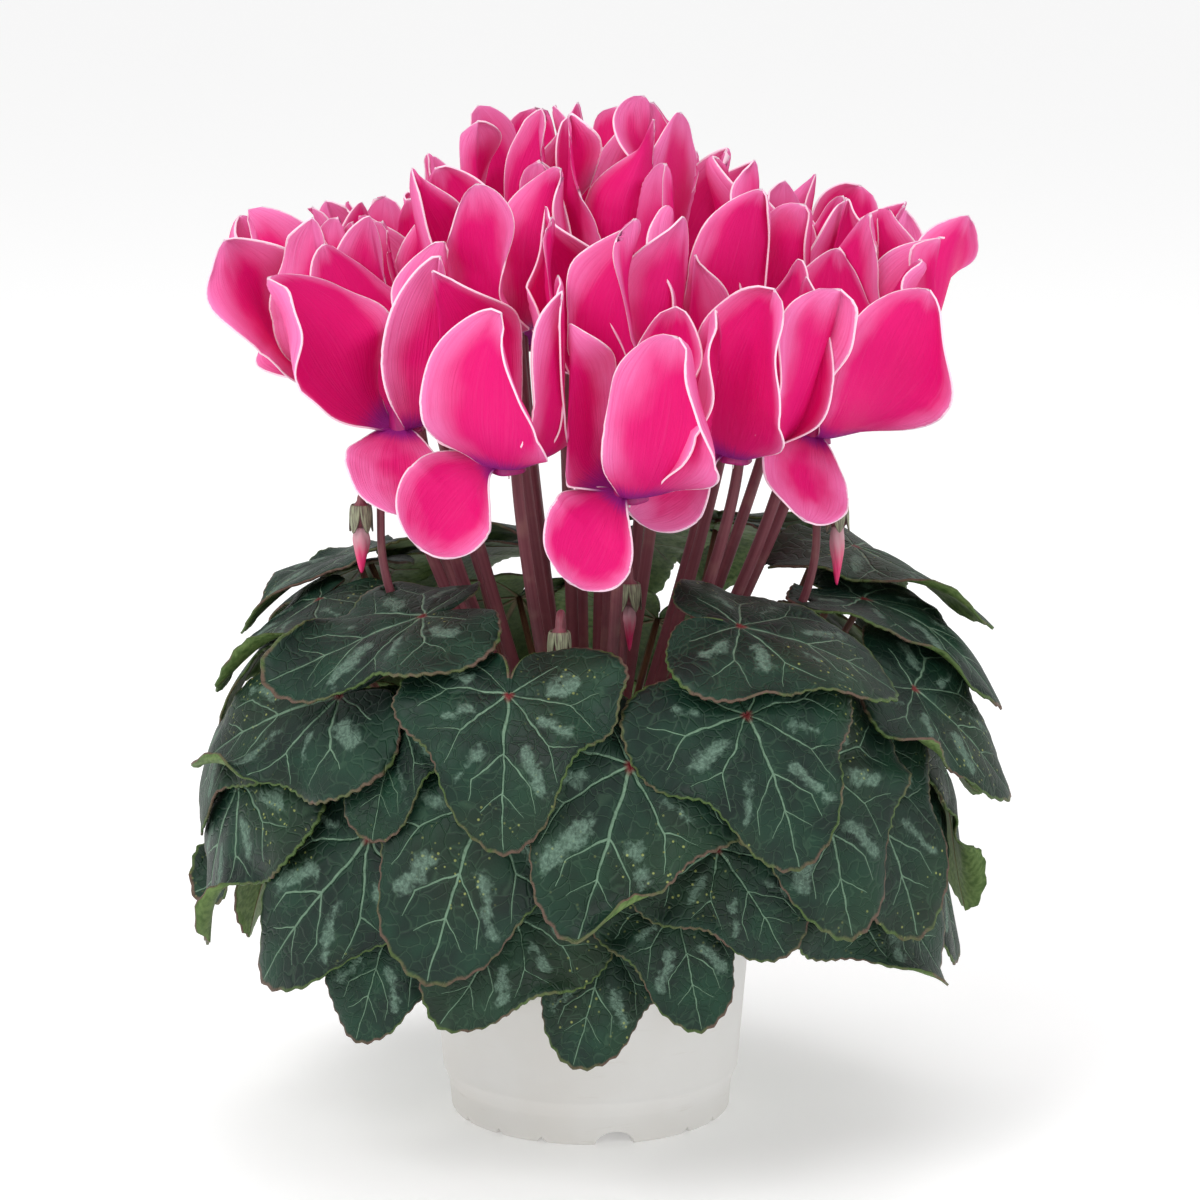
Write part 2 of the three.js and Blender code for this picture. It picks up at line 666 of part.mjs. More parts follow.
function leafPlaces() {
  const leaves = SHOWN_LEAVES.map(([down, bearing, heading, length]) =>
    ({ down, bearing, heading, length }));
  for (const ring of LEAF_RINGS) {
    for (const bearing of spread(ring)) {
      leaves.push({
        down: ring.down + between(-3, 3),
        bearing: bearing + between(-3, 3),
        heading: between(-28, 28),
        length: ring.length + between(-5, 5),
      });
    }
  }
  for (const leaf of leaves) {
    leaf.out = mound(leaf.down, leaf.bearing);
    leaf.across = point(cos(radians(leaf.bearing)), sin(radians(leaf.bearing)), 0);
    leaf.fall = leaf.across.clone().cross(leaf.out);
    leaf.phase = between(0, 6.28);
    leaf.width = between(0.95, 1.1);
  }
  stack(leaves);
  return leaves;
}

/** A direction from the mound's centre. */
function mound(down, bearing) {
  const [a, b] = [radians(down), radians(bearing)];
  return point(sin(a) * sin(b), -sin(a) * cos(b), cos(a));
}

/** How far a leaf reaches at an angle from its tip, in degrees. */
function leafReach(leaf, angle) {
  const across = 1 + (leaf.width - 1) * Math.abs(sin(radians(angle)));
  return leaf.length * across * along(LEAF_OUTLINE, Math.abs(angle));
}

/** The direction of a leaf's point, reach millimetres from its stalk at an angle from its tip. */
function leafDirection(leaf, angle, reach) {
  const heading = radians(leaf.heading + angle);
  const way = leaf.fall.clone().multiplyScalar(cos(heading)).addScaledVector(leaf.across, sin(heading));
  const bend = reach / MOUND.size;
  return leaf.out.clone().multiplyScalar(cos(bend)).addScaledVector(way, sin(bend));
}

/** Lays each leaf on the lower ones that it overlaps, from the bottom of the mound up. */
function stack(leaves) {
  const order = [...leaves].sort((a, b) => b.down - a.down);
  order.forEach((leaf, i) => {
    leaf.layer = 0;
    for (const lower of order.slice(0, i)) {
      if (!overlap(leaf, lower)) continue;
      const slip = MOUND.rise * MOUND.size * radians(leaf.down - lower.down);
      leaf.layer = max(leaf.layer, lower.layer + slip + LEAF.layer);
    }
  });
}

function overlap(a, b) {
  return edgeInside(a, b) || edgeInside(b, a);
}

function edgeInside(a, b) {
  for (let angle = -170; angle <= 170; angle += 10) {
    for (const share of [0.5, 1]) {
      const d = leafDirection(a, angle, leafReach(a, angle) * share);
      const reach = Math.acos(min(d.dot(b.out), 1)) * MOUND.size;
      const heading = Math.atan2(d.dot(b.across), d.dot(b.fall)) - radians(b.heading);
      const turned = Math.atan2(sin(heading), cos(heading));
      if (reach < leafReach(b, THREE.MathUtils.radToDeg(turned)) + 2) return true;
    }
  }
  return false;
}

/** A point of the leaf's middle surface: share runs from its stalk to its scalloped edge. */
function leafPoint(leaf, angle, share) {
  const scallop = share === 1 ? 1 + LEAF.scallop * cos((angle / 30) * PI) : 1;
  const reach = leafReach(leaf, angle) * share * scallop;
  const d = leafDirection(leaf, angle, reach);
  const down = Math.acos(d.z);
  const bearing = Math.atan2(d.x, -d.y);
  const rise = MOUND.rise * MOUND.size * (down - radians(leaf.down));
  const common = MOUND.undulation * sin(3 * bearing + 1.3) * sin(3 * down + 0.5)
    + 0.6 * MOUND.undulation * sin(7 * bearing + 0.7) * sin(5 * down);
  const own = LEAF.wave * share * share * sin(3 * radians(angle) + leaf.phase);
  const { square } = MOUND;
  const squared = (sin(down) ** square + Math.abs(cos(down)) ** square) ** (-1 / square);
  const lift = squared + (leaf.layer + rise + common + own) / MOUND.size;
  return point(
    d.x * MOUND.radius * lift, d.y * MOUND.radius * lift - MOUND.forward,
    MOUND.z + d.z * MOUND.height * lift);
}

function plateSolid(leaf) {
  const last = LEAF_OUTLINE[LEAF_OUTLINE.length - 1][0];
  const angles = Array.from({ length: LEAF.around + 1 }, (_, i) => last * (1 - (2 * i) / LEAF.around));
  const at = (angle, share) => leafPoint(leaf, angle, share);
  return blade(angles, LEAF.rings, at, LEAF.thickness);
}

function stalkSolid(leaf, grow = 0) {
  const sector = sectorOf(leaf.bearing, LEAF_SECTORS);
  const start = polar(sectorBearing(sector, LEAF_SECTORS), STALK.foot, crown(STALK.foot) + STALK.lift);
  const end = leafPoint(leaf, 0, 0).addScaledVector(leaf.out, -0.2);
  const level = (end.z - start.z) / 90;
  const control = mixed(start, end, 0.5).add(point(0, 0, 34 - 44 * level));
  control.addScaledVector(polar(leaf.bearing, 1, 0), 10 * level);
  const stations = Array.from({ length: STALK.segments + 1 }, (_, i) => {
    const share = i / STALK.segments;
    return {
      at: curve(start, control, end, share),
      radius: STALK.base + (STALK.tip - STALK.base) * share + grow,
    };
  });
  return tube(stations, STALK.sides, leaf.across);
}

/** The leaves of one sector, cut clear of every stem and stalk that passes through them. */
function leavesSolid(group) {
  const others = leaves.filter((leaf) => !group.includes(leaf));
  const passing = [...others.map((leaf) => stalkSolid(leaf, GAP)), ...grownStems];
  const plates = joined(passing.reduce((left, one) => left.map((p) => p.subtract(one)),
    group.map(plateSolid)).map(largest));
  return largest(joined([plates, ...group.map((leaf) => stalkSolid(leaf))]));
}

// ---- the plant ---------------------------------------------------------------------------------

const blooms = bloomPlaces();
const buds = budPlaces();
const leaves = leafPlaces();
const grownStems = [
  ...blooms.map((bloom) => stemSolid(bloom, GAP)),
  ...buds.map((bud) => budStem(bud, GAP)),
  ...buds.map((bud) => budSolid(bud, GAP)),
];

const plant = new THREE.Group();

function add(name, solid, colour, roughness) {
  const material = new THREE.MeshStandardMaterial({ color: colour, roughness, metalness: 0 });
  const mesh = new THREE.Mesh(geometryOf(solid), material);
  mesh.name = name;
  plant.add(mesh);
}

const number = (k) => String(k + 1).padStart(2, "0");

add("pot", potSolid(), COLOURS.pot, 0.45);
add("soil", soilSolid(), COLOURS.soil, 0.95);
add("tuber", tuberSolid(), COLOURS.tuber, 0.85);
for (let sector = 0; sector < STEM_SECTORS; sector++) {
  add(`flower_stems_${number(sector)}`, stemsSolid(sector), COLOURS.stem, 0.6);
}
blooms.forEach((bloom, k) => add(`bloom_${number(k)}`, bloomSolid(bloom), COLOURS.petal, 0.6));
buds.forEach((bud, k) => add(`bud_${number(k)}`, budSolid(bud), COLOURS.bud, 0.6));
const groups = Array.from({ length: LEAF_SECTORS }, (_, sector) =>
  leaves.filter((leaf) => sectorOf(leaf.bearing, LEAF_SECTORS) === sector));
groups.forEach((group, sector) => {
  if (group.length) add(`leaves_${number(sector)}`, leavesSolid(group), COLOURS.leaf, 0.5);
});

export default plant;
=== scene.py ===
from math import acos, atan2, cos, degrees, exp, floor, hypot, pi, radians, sin, sqrt

import bmesh
import bpy
from mathutils import Matrix, Vector, noise
from mathutils.kdtree import KDTree


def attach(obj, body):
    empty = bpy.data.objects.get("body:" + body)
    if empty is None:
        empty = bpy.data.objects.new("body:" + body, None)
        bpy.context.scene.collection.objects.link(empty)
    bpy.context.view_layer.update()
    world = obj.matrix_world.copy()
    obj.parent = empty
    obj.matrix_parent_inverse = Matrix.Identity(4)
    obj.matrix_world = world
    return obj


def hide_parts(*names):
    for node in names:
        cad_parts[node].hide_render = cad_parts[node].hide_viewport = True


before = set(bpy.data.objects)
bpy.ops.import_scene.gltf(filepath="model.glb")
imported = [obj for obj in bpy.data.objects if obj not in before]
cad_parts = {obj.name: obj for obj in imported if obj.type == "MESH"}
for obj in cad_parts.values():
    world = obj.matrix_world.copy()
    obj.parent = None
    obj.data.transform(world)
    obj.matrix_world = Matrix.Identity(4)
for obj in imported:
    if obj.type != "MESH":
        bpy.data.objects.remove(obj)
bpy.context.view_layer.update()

# ---- driving dimensions, as in the part's source, and what the finer forms add to them
# Lengths are in millimetres and angles in degrees, but for a petal's curl and a leaf's roll, which
# are in radians. A bearing is taken from the front, -Y, towards +X.

MM = 0.001
WELD = 2e-6  # how near to each other two points are joined, in metres
SOURCE_SEED, LOOKS_SEED = 20, 7
POT_HEIGHT, POT_WALL, POT_BASE = 104, 1.6, 5.2
RIM_RADIUS, RIM_DROP, TOP_RADIUS = 65.2, 6, 64
SHOULDER_RADIUS, SHOULDER_HEIGHT = 57, 17
FOOT_RADIUS, FOOT_HEIGHT, RING_WIDTH = 54, 11, 4.5
FOOT_PATTERNS = 3
ARCH = {"at": 10, "width": 15, "height": 5.2}
NOTCHES = {"at": (-60, -40, -20, 43), "width": 4, "height": 2.6}
DRAIN = {"holes": 5, "radius": 4, "circle": 36, "from": 20}

SOIL_TOP, SOIL_MOUND = 93, 2.5
GAP = 0.45
TUBER = {"radius": 27, "half_height": 17, "z": 88}

MITRE = 2  # how many times its thickness a sheet's corner may stand out

FAN_Z = -200
STEM = {"foot": 9.5, "far": 104, "spread": 0.56, "lift": 1.2, "base": 2.5, "tip": 2, "bow": 0.25}
STEM_SECTORS = 6
PLATE = {"inner": 1.5, "outer": 13.5, "thickness": 2.4, "slit": 0.3}
HOOK = {"reach": 10.4, "height": 16, "dip": 6, "step": 15}
CALYX = {"radius": 4.1, "top": 9.9}
CUP = {"mouth": 6.6, "top": 4.4, "height": 9.5, "lip": -1, "ribs": 5}
STYLE = {"length": 4.5, "base": 0.5, "tip": 0.3}
PETAL = {
    "thickness": 0.8, "length": 71, "half_width": 21.5, "root": 4.2, "root_half_width": 4.2,
    "flare": 17, "flare_length": 0.2, "turn": 0.07, "widest": 0.52,
}
FULLNESS = 1.18
# What differs in a petal that hangs down: its size first, then its folds.
HANGING = {"fullness": 0.84, "length": 38, "flare": 6}
HANGING_FOLDS = {
    "wave": 0.8, "fold": 0.6, "pointed": False, "lean": 0, "turn_over": 0, "bow": -3, "curl": -0.4,
}
PETALS = 5
CELL_MARGIN, CELL_EASE = 0.75, 0.68
# Blooms that the photo shows: bearing, radius, height and turn of the mouth, which petals hang,
# and how full the others are.
BLOOM_KEYS = ("bearing", "radius", "mouth", "turn", "hanging", "fullness")
SHOWN_BLOOMS = [
    (-46, 92, 273, 20, (0,), 1.22), (-17, 98, 264, 4, (4,), 1.36), (8, 102, 255, 8, (4,), 1.22),
    (36, 88, 264, -50, (4,), 1.2), (59, 95, 268, -14, (4,), 1.22), (83, 98, 282, 15, (), FULLNESS),
    (-76, 92, 282, -8, (), FULLNESS),
]
# Rings of blooms: how many, from which bearing to which, radius, mouth's height, and stagger.
BLOOM_RINGS = [(6, 110, 257, 92, 284, 0), (8, 5, 320, 58, 293, 9), (3, 30, 270, 20, 318, 0)]
# Buds: bearing, radius, height of the hook's top, length, girth, and whether it is white-green.
BUD_KEYS = ("bearing", "radius", "top", "length", "girth", "pale")
BUDS = [dict(zip(BUD_KEYS, row)) for row in (
    (-55, 97, 250, 17, 3.1, False), (61, 99, 249, 22, 2.7, False),
    (-6, 98, 212, 14, 3.4, True), (13, 60, 222, 17, 2.3, False))]
BUD = {"hook": 4.2, "calyx_length": 9, "calyx_radius": 3.4, "stem": 1.5}
# Radii of a bud's calyx and of its sepals and petals, at hundredths of the way down.
BUD_CALYX = [(8, 0.62), (22, 0.92), (45, 1.0), (70, 1.02), (100, 0.98)]
SEPAL_PROFILE = [(0, 0.5), (18, 0.95), (45, 1.08), (75, 1.1), (125, 1.04)]
FURLED_PROFILE = [(0, 0.8), (30, 1.0), (65, 0.62), (90, 0.3), (100, 0.1)]
SEPAL = {"from": 0.15, "reach": 1.12, "half_width": 36, "thickness": 0.5}

MOUND = {
    "radius": 131, "height": 124, "z": 72, "forward": 2, "size": 140, "rise": 0.16,
    "undulation": 6, "square": 3.8,
}
# The mound's waves: share of the height, then count and phase round it and down it.
UNDULATION = [(1, 3, 1.3, 3, 0.5), (0.6, 7, 0.7, 5, 0)]
LEAF = {"thickness": 0.9, "layer": 5.6, "wave": 1}
LEAF_OUTLINE = [
    (0, 1.0), (14, 0.88), (29, 0.72), (45, 0.63), (62, 0.61), (82, 0.64), (104, 0.62),
    (128, 0.54), (150, 0.44), (166, 0.3), (176, 0.1),
]
# What a finer blade adds to its outline: where, how far to each side, and how much.
LOBES = [(106, 36, 0.15), (52, 16, -0.07), (21, 13, 0.06)]
TEETH = [(6, 0.03), (60, 0.011)]  # how many in a turn, and how high
STALK = {"foot": 18, "lift": 2, "base": 1.9, "tip": 1.3}
LEAF_SECTORS = 18
OPEN_STEP = 12
# How far out to its edge a blade starts to roll, the roll's radius, and the most that it turns.
ROLL = {"from": 0.74, "radius": 4.2, "most": 2.5}
# Leaves that the photo shows: down, bearing, heading and length.
LEAF_KEYS = ("down", "bearing", "heading", "length")
SHOWN_LEAVES = [
    (35, -36, -43, 46), (47, -12, 3, 44), (49, -32, 2, 38), (47, -47, -56, 56),
    (37, -86, 40, 46), (34, -112, 50, 44), (44, -104, 30, 52), (38, 28, 60, 48),
    (50, 23, 12, 45), (64, 19, 32, 45), (54, 6, -19, 56), (57, -15, -18, 66),
    (64, -35, -34, 66), (62, -64, -18, 62), (73, -11, -34, 52), (76, 3, -15, 50),
    (71, 13, 8, 46), (57, 44, 11, 58), (70, 46, 34, 54), (50, 63, 28, 47),
    (34, 100, -40, 46), (37, 80, -6, 50), (64, -86, -8, 54), (56, 33, 6, 54),
    (72, 70, 8, 46), (52, 102, -6, 52), (52, -69, -24, 52), (76, -32, -12, 46),
    (64, 90, -10, 54),
]
# Rings of leaves: how many, from which bearing to which, down and length.
LEAF_RINGS = [(5, 122, 232, 36, 48), (6, 114, 246, 52, 56), (5, 114, 248, 70, 58)]
OPENING = {"search": 3.4, "room": 0.75}  # round what passes through a blade

# Faces across and along each sheet, and round each tube.
PETAL_GRID, LEAF_GRID, SEPAL_GRID, PLATE_GRID = (24, 44), (240, 14), (10, 18), (14, 12)
EDGE_REACH = 20  # how many millimetres from a petal's edge its second UV map counts to 1
STEM_SIDES, STALK_SIDES, BUD_SIDES, CUP_SIDES, STYLE_SIDES = 16, 12, 40, 30, 8
POT_SIDES, SOIL_SIDES, HOLE_SIDES = 360, 120, 32
# Stations along each tube.
STEM_STATIONS, STALK_STATIONS, BUD_STATIONS, CUP_STATIONS, STYLE_STATIONS = 25, 17, 24, 9, 5

# Veins of half a leaf, laid flat with its tip at (1, 0): start, end, and half width at each.
VEINS = [
    ((0.0, 0.0), (0.97, 0.0), 0.013, 0.005),
    ((0.0, 0.0), (0.30, 0.27), 0.009, 0.006),
    ((0.30, 0.27), (0.52, 0.33), 0.006, 0.003),
    ((0.30, 0.27), (0.31, 0.46), 0.006, 0.003),
    ((0.0, 0.0), (0.0, 0.34), 0.008, 0.006),
    ((0.0, 0.34), (0.14, 0.50), 0.006, 0.003),
    ((0.0, 0.34), (-0.10, 0.48), 0.005, 0.003),
    ((0.0, 0.0), (-0.24, 0.25), 0.007, 0.004),
    ((0.40, 0.0), (0.56, 0.17), 0.007, 0.005),
    ((0.56, 0.17), (0.70, 0.19), 0.005, 0.003),
    ((0.64, 0.0), (0.76, 0.13), 0.006, 0.003),
]
# Silver patches between the veins: the ends of each one's middle line, and its half width.
PATCHES = [
    ((0.38, 0.13), (0.58, 0.25), 0.050),
    ((0.14, 0.22), (0.20, 0.36), 0.045),
    ((-0.06, 0.24), (-0.14, 0.34), 0.040),
]
MAIN_VEINS = VEINS[:8]
FLAT_LEAF_BACK = 0.75  # how much of the flat leaf's UV map lies behind the stalk

# Lights, in metres and watts: where each is, how wide and how strong.
LIGHTS = {
    "key": ((-1.2, -1.6, 1.9), 1.4, 26), "fill": ((1.8, -1.4, 0.9), 1.8, 6),
    "top": ((0.1, 0.5, 2.2), 1.6, 8),
}
LIGHT_TARGET = (0, 0, 0.2)
CAMERA = {"at": (0.0037, -1.4724, 0.4842), "target": (0.0037, 0, 0.198), "lens": 118.8,
          "sensor": 36}
FLOOR_REACH, FLOOR_DROP, WORLD_STRENGTH = 60, 0.0002, 0.75


# ---- small tools

def polar(bearing, radius, z):
    """The point at a bearing from the front, a radius from the pot's axis and a height."""
    return Vector((radius * sin(radians(bearing)), -radius * cos(radians(bearing)), z))


class Draws:
    """A repeatable source of numbers."""

    def __init__(self, seed):
        self.state = seed

    def between(self, low, high):
        mask = 0xFFFFFFFF
        self.state = (self.state + 0x6D2B79F5) & mask
        t = self.state
        t = ((t ^ (t >> 15)) * (t | 1)) & mask
        t ^= (t + (((t ^ (t >> 7)) * (t | 61)) & mask)) & mask
        return low + (high - low) * ((t ^ (t >> 14)) & mask) / 4294967296


def along(points, x):
    """The value at x of a smooth curve through the points."""
    last = len(points) - 1
    for i in range(1, last + 1):
        if x <= points[i][0] or i == last:
            (x0, y0), (x1, y1) = points[i - 1], points[i]
            before = points[i - 2] if i > 1 else (-x1, y1)
            after = points[i + 1] if i < last else (2 * x1 - x0, y1 + 2 * (y1 - y0))
            s = (x - x0) / (x1 - x0)
            slope0 = (y1 - before[1]) / (x1 - before[0]) * (x1 - x0)
            slope1 = (after[1] - y0) / (after[0] - x0) * (x1 - x0)
            s2, s3 = s * s, s * s * s
            return ((2 * s3 - 3 * s2 + 1) * y0 + (s3 - 2 * s2 + s) * slope0
                    + (3 * s2 - 2 * s3) * y1 + (s3 - s2) * slope1)


def spread(count, low, high):
    return [low + (high - low) * k / max(count - 1, 1) for k in range(count)]


def eased(x, low, high):
    """0 below low, 1 above high, and smooth between them."""
    x = min(max((x - low) / (high - low), 0), 1)
    return x * x * (3 - 2 * x)


def tapered(count, start, control, end, base, tip):
    """Stations along a curve, each with its place and a radius that runs from base to tip."""
    return [
        (start.lerp(control, share).lerp(control.lerp(end, share), share),
         base + (tip - base) * share)
        for share in spread(count, 0, 1)
    ]


def sector_of(bearing, sectors):
    return floor((bearing % 360) / (360 / sectors))


def sector_bearing(sector, sectors):
    return (sector + 0.5) * 360 / sectors


# ---- laying out sheets and tubes

def laid(bm, across, up, place, mark=None, finish=0):
    """A grid of faces on the surface place(u, v), u and v from 0 to 1, with its two UV maps."""
    uv = bm.loops.layers.uv.get("UVMap") or bm.loops.layers.uv.new("UVMap")
    edge = bm.loops.layers.uv.get("Edge") or bm.loops.layers.uv.new("Edge")
    verts = bmesh.ops.create_grid(bm, x_segments=across, y_segments=up, size=0.5)["verts"]
    at = {vert: (vert.co.x + 0.5, vert.co.y + 0.5) for vert in verts}
    marks = {vert: (mark(*at[vert]) if mark else (at[vert], (0, 0))) for vert in verts}
    for face in {face for vert in verts for face in vert.link_faces}:
        face.smooth = True
        face.material_index = finish
        for loop in face.loops:
            loop[uv].uv, loop[edge].uv = marks[loop.vert]
    for vert in verts:
        vert.co = place(*at[vert]) * MM
    return verts


def close(bm, verts):
    """Welds the seam of what is rolled up, and fills its ends."""
    bmesh.ops.remove_doubles(bm, verts=verts, dist=WELD)
    edges = {edge for vert in verts if vert.is_valid for edge in vert.link_edges}
    bmesh.ops.holes_fill(bm, edges=[edge for edge in edges if edge.is_boundary], sides=0)


def make_tube(bm, stations, around, across, finish=0, shape=None):
    """A closed tube through stations, with its sides turned about one direction."""
    last = len(stations) - 1
    rings = []
    for k, (at, radius) in enumerate(stations):
        forward = (stations[min(k + 1, last)][0] - stations[max(k - 1, 0)][0]).normalized()
        side = (across - forward * across.dot(forward)).normalized()
        rings.append((at, radius, side, forward.cross(side)))

    def place(u, v):
        at, radius, side, other = rings[round(v * last)]
        radius *= shape(u, v) if shape else 1
        return at + side * (radius * cos(2 * pi * u)) + other * (radius * sin(2 * pi * u))

    close(bm, laid(bm, around, last, place, finish=finish))


def thicken(bm, verts, thickness, underside=None):
    """Gives a sheet its thickness, about its middle surface, and draws in corners that spike."""
    bm.normal_update()
    kept = [vert for vert in verts if vert.is_valid]
    faces = {face for vert in kept for face in vert.link_faces}
    for vert in kept:
        vert.co += vert.normal * (thickness * MM / 2)
    tree = KDTree(len(kept))
    for index, vert in enumerate(kept):
        tree.insert(vert.co, index)
    tree.balance()
    made = bmesh.ops.solidify(bm, geom=list(faces), thickness=thickness * MM)["geom"]
    for vert in made:
        if isinstance(vert, bmesh.types.BMVert):
            near, _, off = tree.find(vert.co)
            if off > MITRE * thickness * MM:
                vert.co = near + (vert.co - near) * (thickness * MM / off)
    if underside is not None:
        for face in made:
            if isinstance(face, bmesh.types.BMFace):
                face.material_index = underside


def piece(name, bm, finishes):
    """A finished piece that rides on the plant and replaces the node of its name."""
    bm.normal_update()
    mesh = bpy.data.meshes.new(name)
    bm.to_mesh(mesh)
    bm.free()
    for finish in finishes:
        mesh.materials.append(finish)
    made = bpy.data.objects.new(name, mesh)
    bpy.context.scene.collection.objects.link(made)
    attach(made, "root")
    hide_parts(name)


# ---- finishes

def sign(operation, flipped=False):
    """A method that joins a value to another by a Math node."""
    def joined(self, other):
        return self.sum(operation, *((other, self) if flipped else (self, other)))
    return joined


class Value:
    """A varying number or colour on a surface, with Python's own signs for sums."""

    def __init__(self, finish, socket):
        self.finish, self.socket = finish, socket

    def sum(self, operation, *terms):
        made = self.finish.node("ShaderNodeMath", {"operation": operation}, terms)
        return Value(self.finish, made.outputs[0])

    __add__ = __radd__ = sign("ADD")
    __mul__ = __rmul__ = sign("MULTIPLY")
    __sub__, __rsub__ = sign("SUBTRACT"), sign("SUBTRACT", flipped=True)
    __truediv__ = sign("DIVIDE")
    least, most = sign("MINIMUM"), sign("MAXIMUM")

    def held(self):
        return self.most(0).least(1)

    def away(self):
        return self.sum("ABSOLUTE", self)

    def step(self, low, high):
        """0 below low, 1 above high (or the other way round), and smooth between them."""
        made = self.finish.node(
            "ShaderNodeMapRange", {"interpolation_type": "SMOOTHSTEP"},
            (self, low, high) if low < high else (self, high, low))
        result = Value(self.finish, made.outputs[0])
        return result if low < high else 1 - result


class Finish:
    """One material: its nodes, and a plain way to add to them."""

    def __init__(self, name, **constants):
        self.material = bpy.data.materials.new(name)
        self.material.use_nodes = True
        self.tree = self.material.node_tree
        self.shader = self.tree.nodes["Principled BSDF"]
        for socket, value in constants.items():
            self.shader.inputs[socket.replace("_", " ")].default_value = value

    def node(self, kind, settings, inputs):
        """A node of a kind, with its settings, and the values or links of its sockets."""
        made = self.tree.nodes.new(kind)
        for key, value in settings.items():
            setattr(made, key, value)
        pairs = inputs.items() if isinstance(inputs, dict) else enumerate(inputs)
        for key, value in pairs:
            self.put(made.inputs[key], value)
        return made

    def put(self, socket, value):
        if isinstance(value, Value):
            self.tree.links.new(value.socket, socket)
        else:
            socket.default_value = value

    def set(self, **links):
        for socket, value in links.items():
            self.put(self.shader.inputs[socket.replace("_", " ")], value)

    def place(self):
        return Value(self, self.node("ShaderNodeTexCoord", {}, {}).outputs["Object"])

    def uv(self, name):
        """The two numbers of a UV map."""
        made = self.node("ShaderNodeUVMap", {"uv_map": name}, {})
        return self.parts(Value(self, made.outputs[0]))[:2]

    def parts(self, vector):
        made = self.node("ShaderNodeSeparateXYZ", {}, (vector,))
        return [Value(self, socket) for socket in made.outputs]

    def vector(self, x, y, z):
        return Value(self, self.node("ShaderNodeCombineXYZ", {}, (x, y, z)).outputs[0])

    def turned(self, operation, *terms):
        """A Vector Math node's result."""
        made = self.node("ShaderNodeVectorMath", {"operation": operation}, ())
        for socket, value in zip([s for s in made.inputs if s.enabled], terms):
            self.put(socket, value)
        scalar = operation in ("DOT_PRODUCT", "DISTANCE")
        return Value(self, made.outputs[1 if scalar else 0])

    def grain(self, vector, scale, detail=2.0, roughness=0.5):
        made = self.node("ShaderNodeTexNoise", {}, {
            "Vector": vector, "Scale": scale, "Detail": detail, "Roughness": roughness})
        return Value(self, made.outputs[0])

    def streaks(self, x, y, z, detail=2.0, roughness=0.5):
        """Grain on a vector's own scale."""
        return self.grain(self.vector(x, y, z), 1.0, detail, roughness)

    def cells(self, vector, scale, feature="F1"):
        made = self.node("ShaderNodeTexVoronoi", {"feature": feature}, {
            "Vector": vector, "Scale": scale})
        return Value(self, made.outputs[0])

    def mix(self, share, first, second):
        made = self.node("ShaderNodeMix", {"data_type": "RGBA"}, {
            0: share, 6: first, 7: second})
        return Value(self, made.outputs[2])

    def layers(self, body, *coats):
        """A colour with others laid over it, each by a share and its screen numbers."""
        for share, *screen in coats:
            body = self.mix(share, body, colour(*screen))
        return body

    def bump(self, height, distance):
        made = self.node("ShaderNodeBump", {}, {
            "Height": height, "Distance": distance * MM, "Strength": 1.0})
        self.set(Normal=Value(self, made.outputs[0]))


def colour(red, green, blue):
    """A colour from its usual screen numbers, 0 to 255."""
    def linear(part):
        part /= 255
        return part / 12.92 if part <= 0.04045 else ((part + 0.055) / 1.055) ** 2.4
    return (linear(red), linear(green), linear(blue), 1)


def petal_finish(name, reach, paleness):
    """Vivid pink, paler and streaked for a reach in from the edge, with a thin white margin; it
    glows faintly in the same colour, painted light for light shining through.
    """
    finish = Finish(name, Roughness=0.6, Specular_IOR_Level=0.2, Emission_Strength=0.12)
    u, v = finish.uv("UVMap")
    margin, own = finish.uv("Edge")
    streaks = finish.streaks(u * 70, v * 2.6, own * 9, 4.0, 0.6)
    broad = finish.streaks(u * 3, v * 2.4, own * 21)
    depth = margin * EDGE_REACH
    pale = (depth * (0.45 + broad) + (streaks - 0.5) * 9 + (broad - 0.5) * 8).step(reach, 0.2)
    share = (pale * (paleness + (streaks - 0.5) * 1.5) + (streaks - 0.5) * 0.25).held()
    blush = finish.mix(share, colour(216, 10, 110), colour(234, 118, 178))
    edge = (depth + (streaks - 0.5) * 3).step(2.2, 0.6)
    blush = finish.mix(edge * 0.3, blush, colour(240, 156, 202))
    body = finish.mix(v.step(0.08, 0.4) * 0.9 + 0.1, colour(196, 8, 98), blush)
    mouth = (v + (streaks - 0.5) * 0.12).step(0.19, 0.06)
    rim = depth + (finish.streaks(v * 40, own * 7, u) - 0.5) * 0.7
    white = rim.step(0.62, 0.3) * v.step(0.03, 0.12) * 0.85
    whole = finish.layers(body, (mouth, 136, 24, 120), (white, 252, 224, 238))
    # The same colour feeds a faint glow: painted light that brightens the petals' shaded parts, in
    # place of light shining through them.
    finish.set(Base_Color=whole, Emission_Color=whole)
    finish.bump(streaks + broad * 0.6, 0.45)
    return finish.material


def streaked_finish(name, scales, blend, first, second, detail=3.0):
    """Two colours in streaks along a tube or a sheet."""
    finish = Finish(name, Roughness=0.5)
    u, v = finish.uv("UVMap")
    across, up, seed = scales
    streaks = finish.streaks(u * across, v * up, seed, detail)
    finish.set(Base_Color=finish.mix(blend(v, streaks), first, second))
    finish.bump(streaks, 0.2)
    return finish.material


def plain_streaks(v, streaks):
    return streaks.step(0.3, 0.7)


def throat_streaks(v, streaks):
    return (streaks * 1.4 - 0.2).held()


def towards_tip(v, streaks):
    return (v + streaks * 0.5).step(0.35, 1.05)


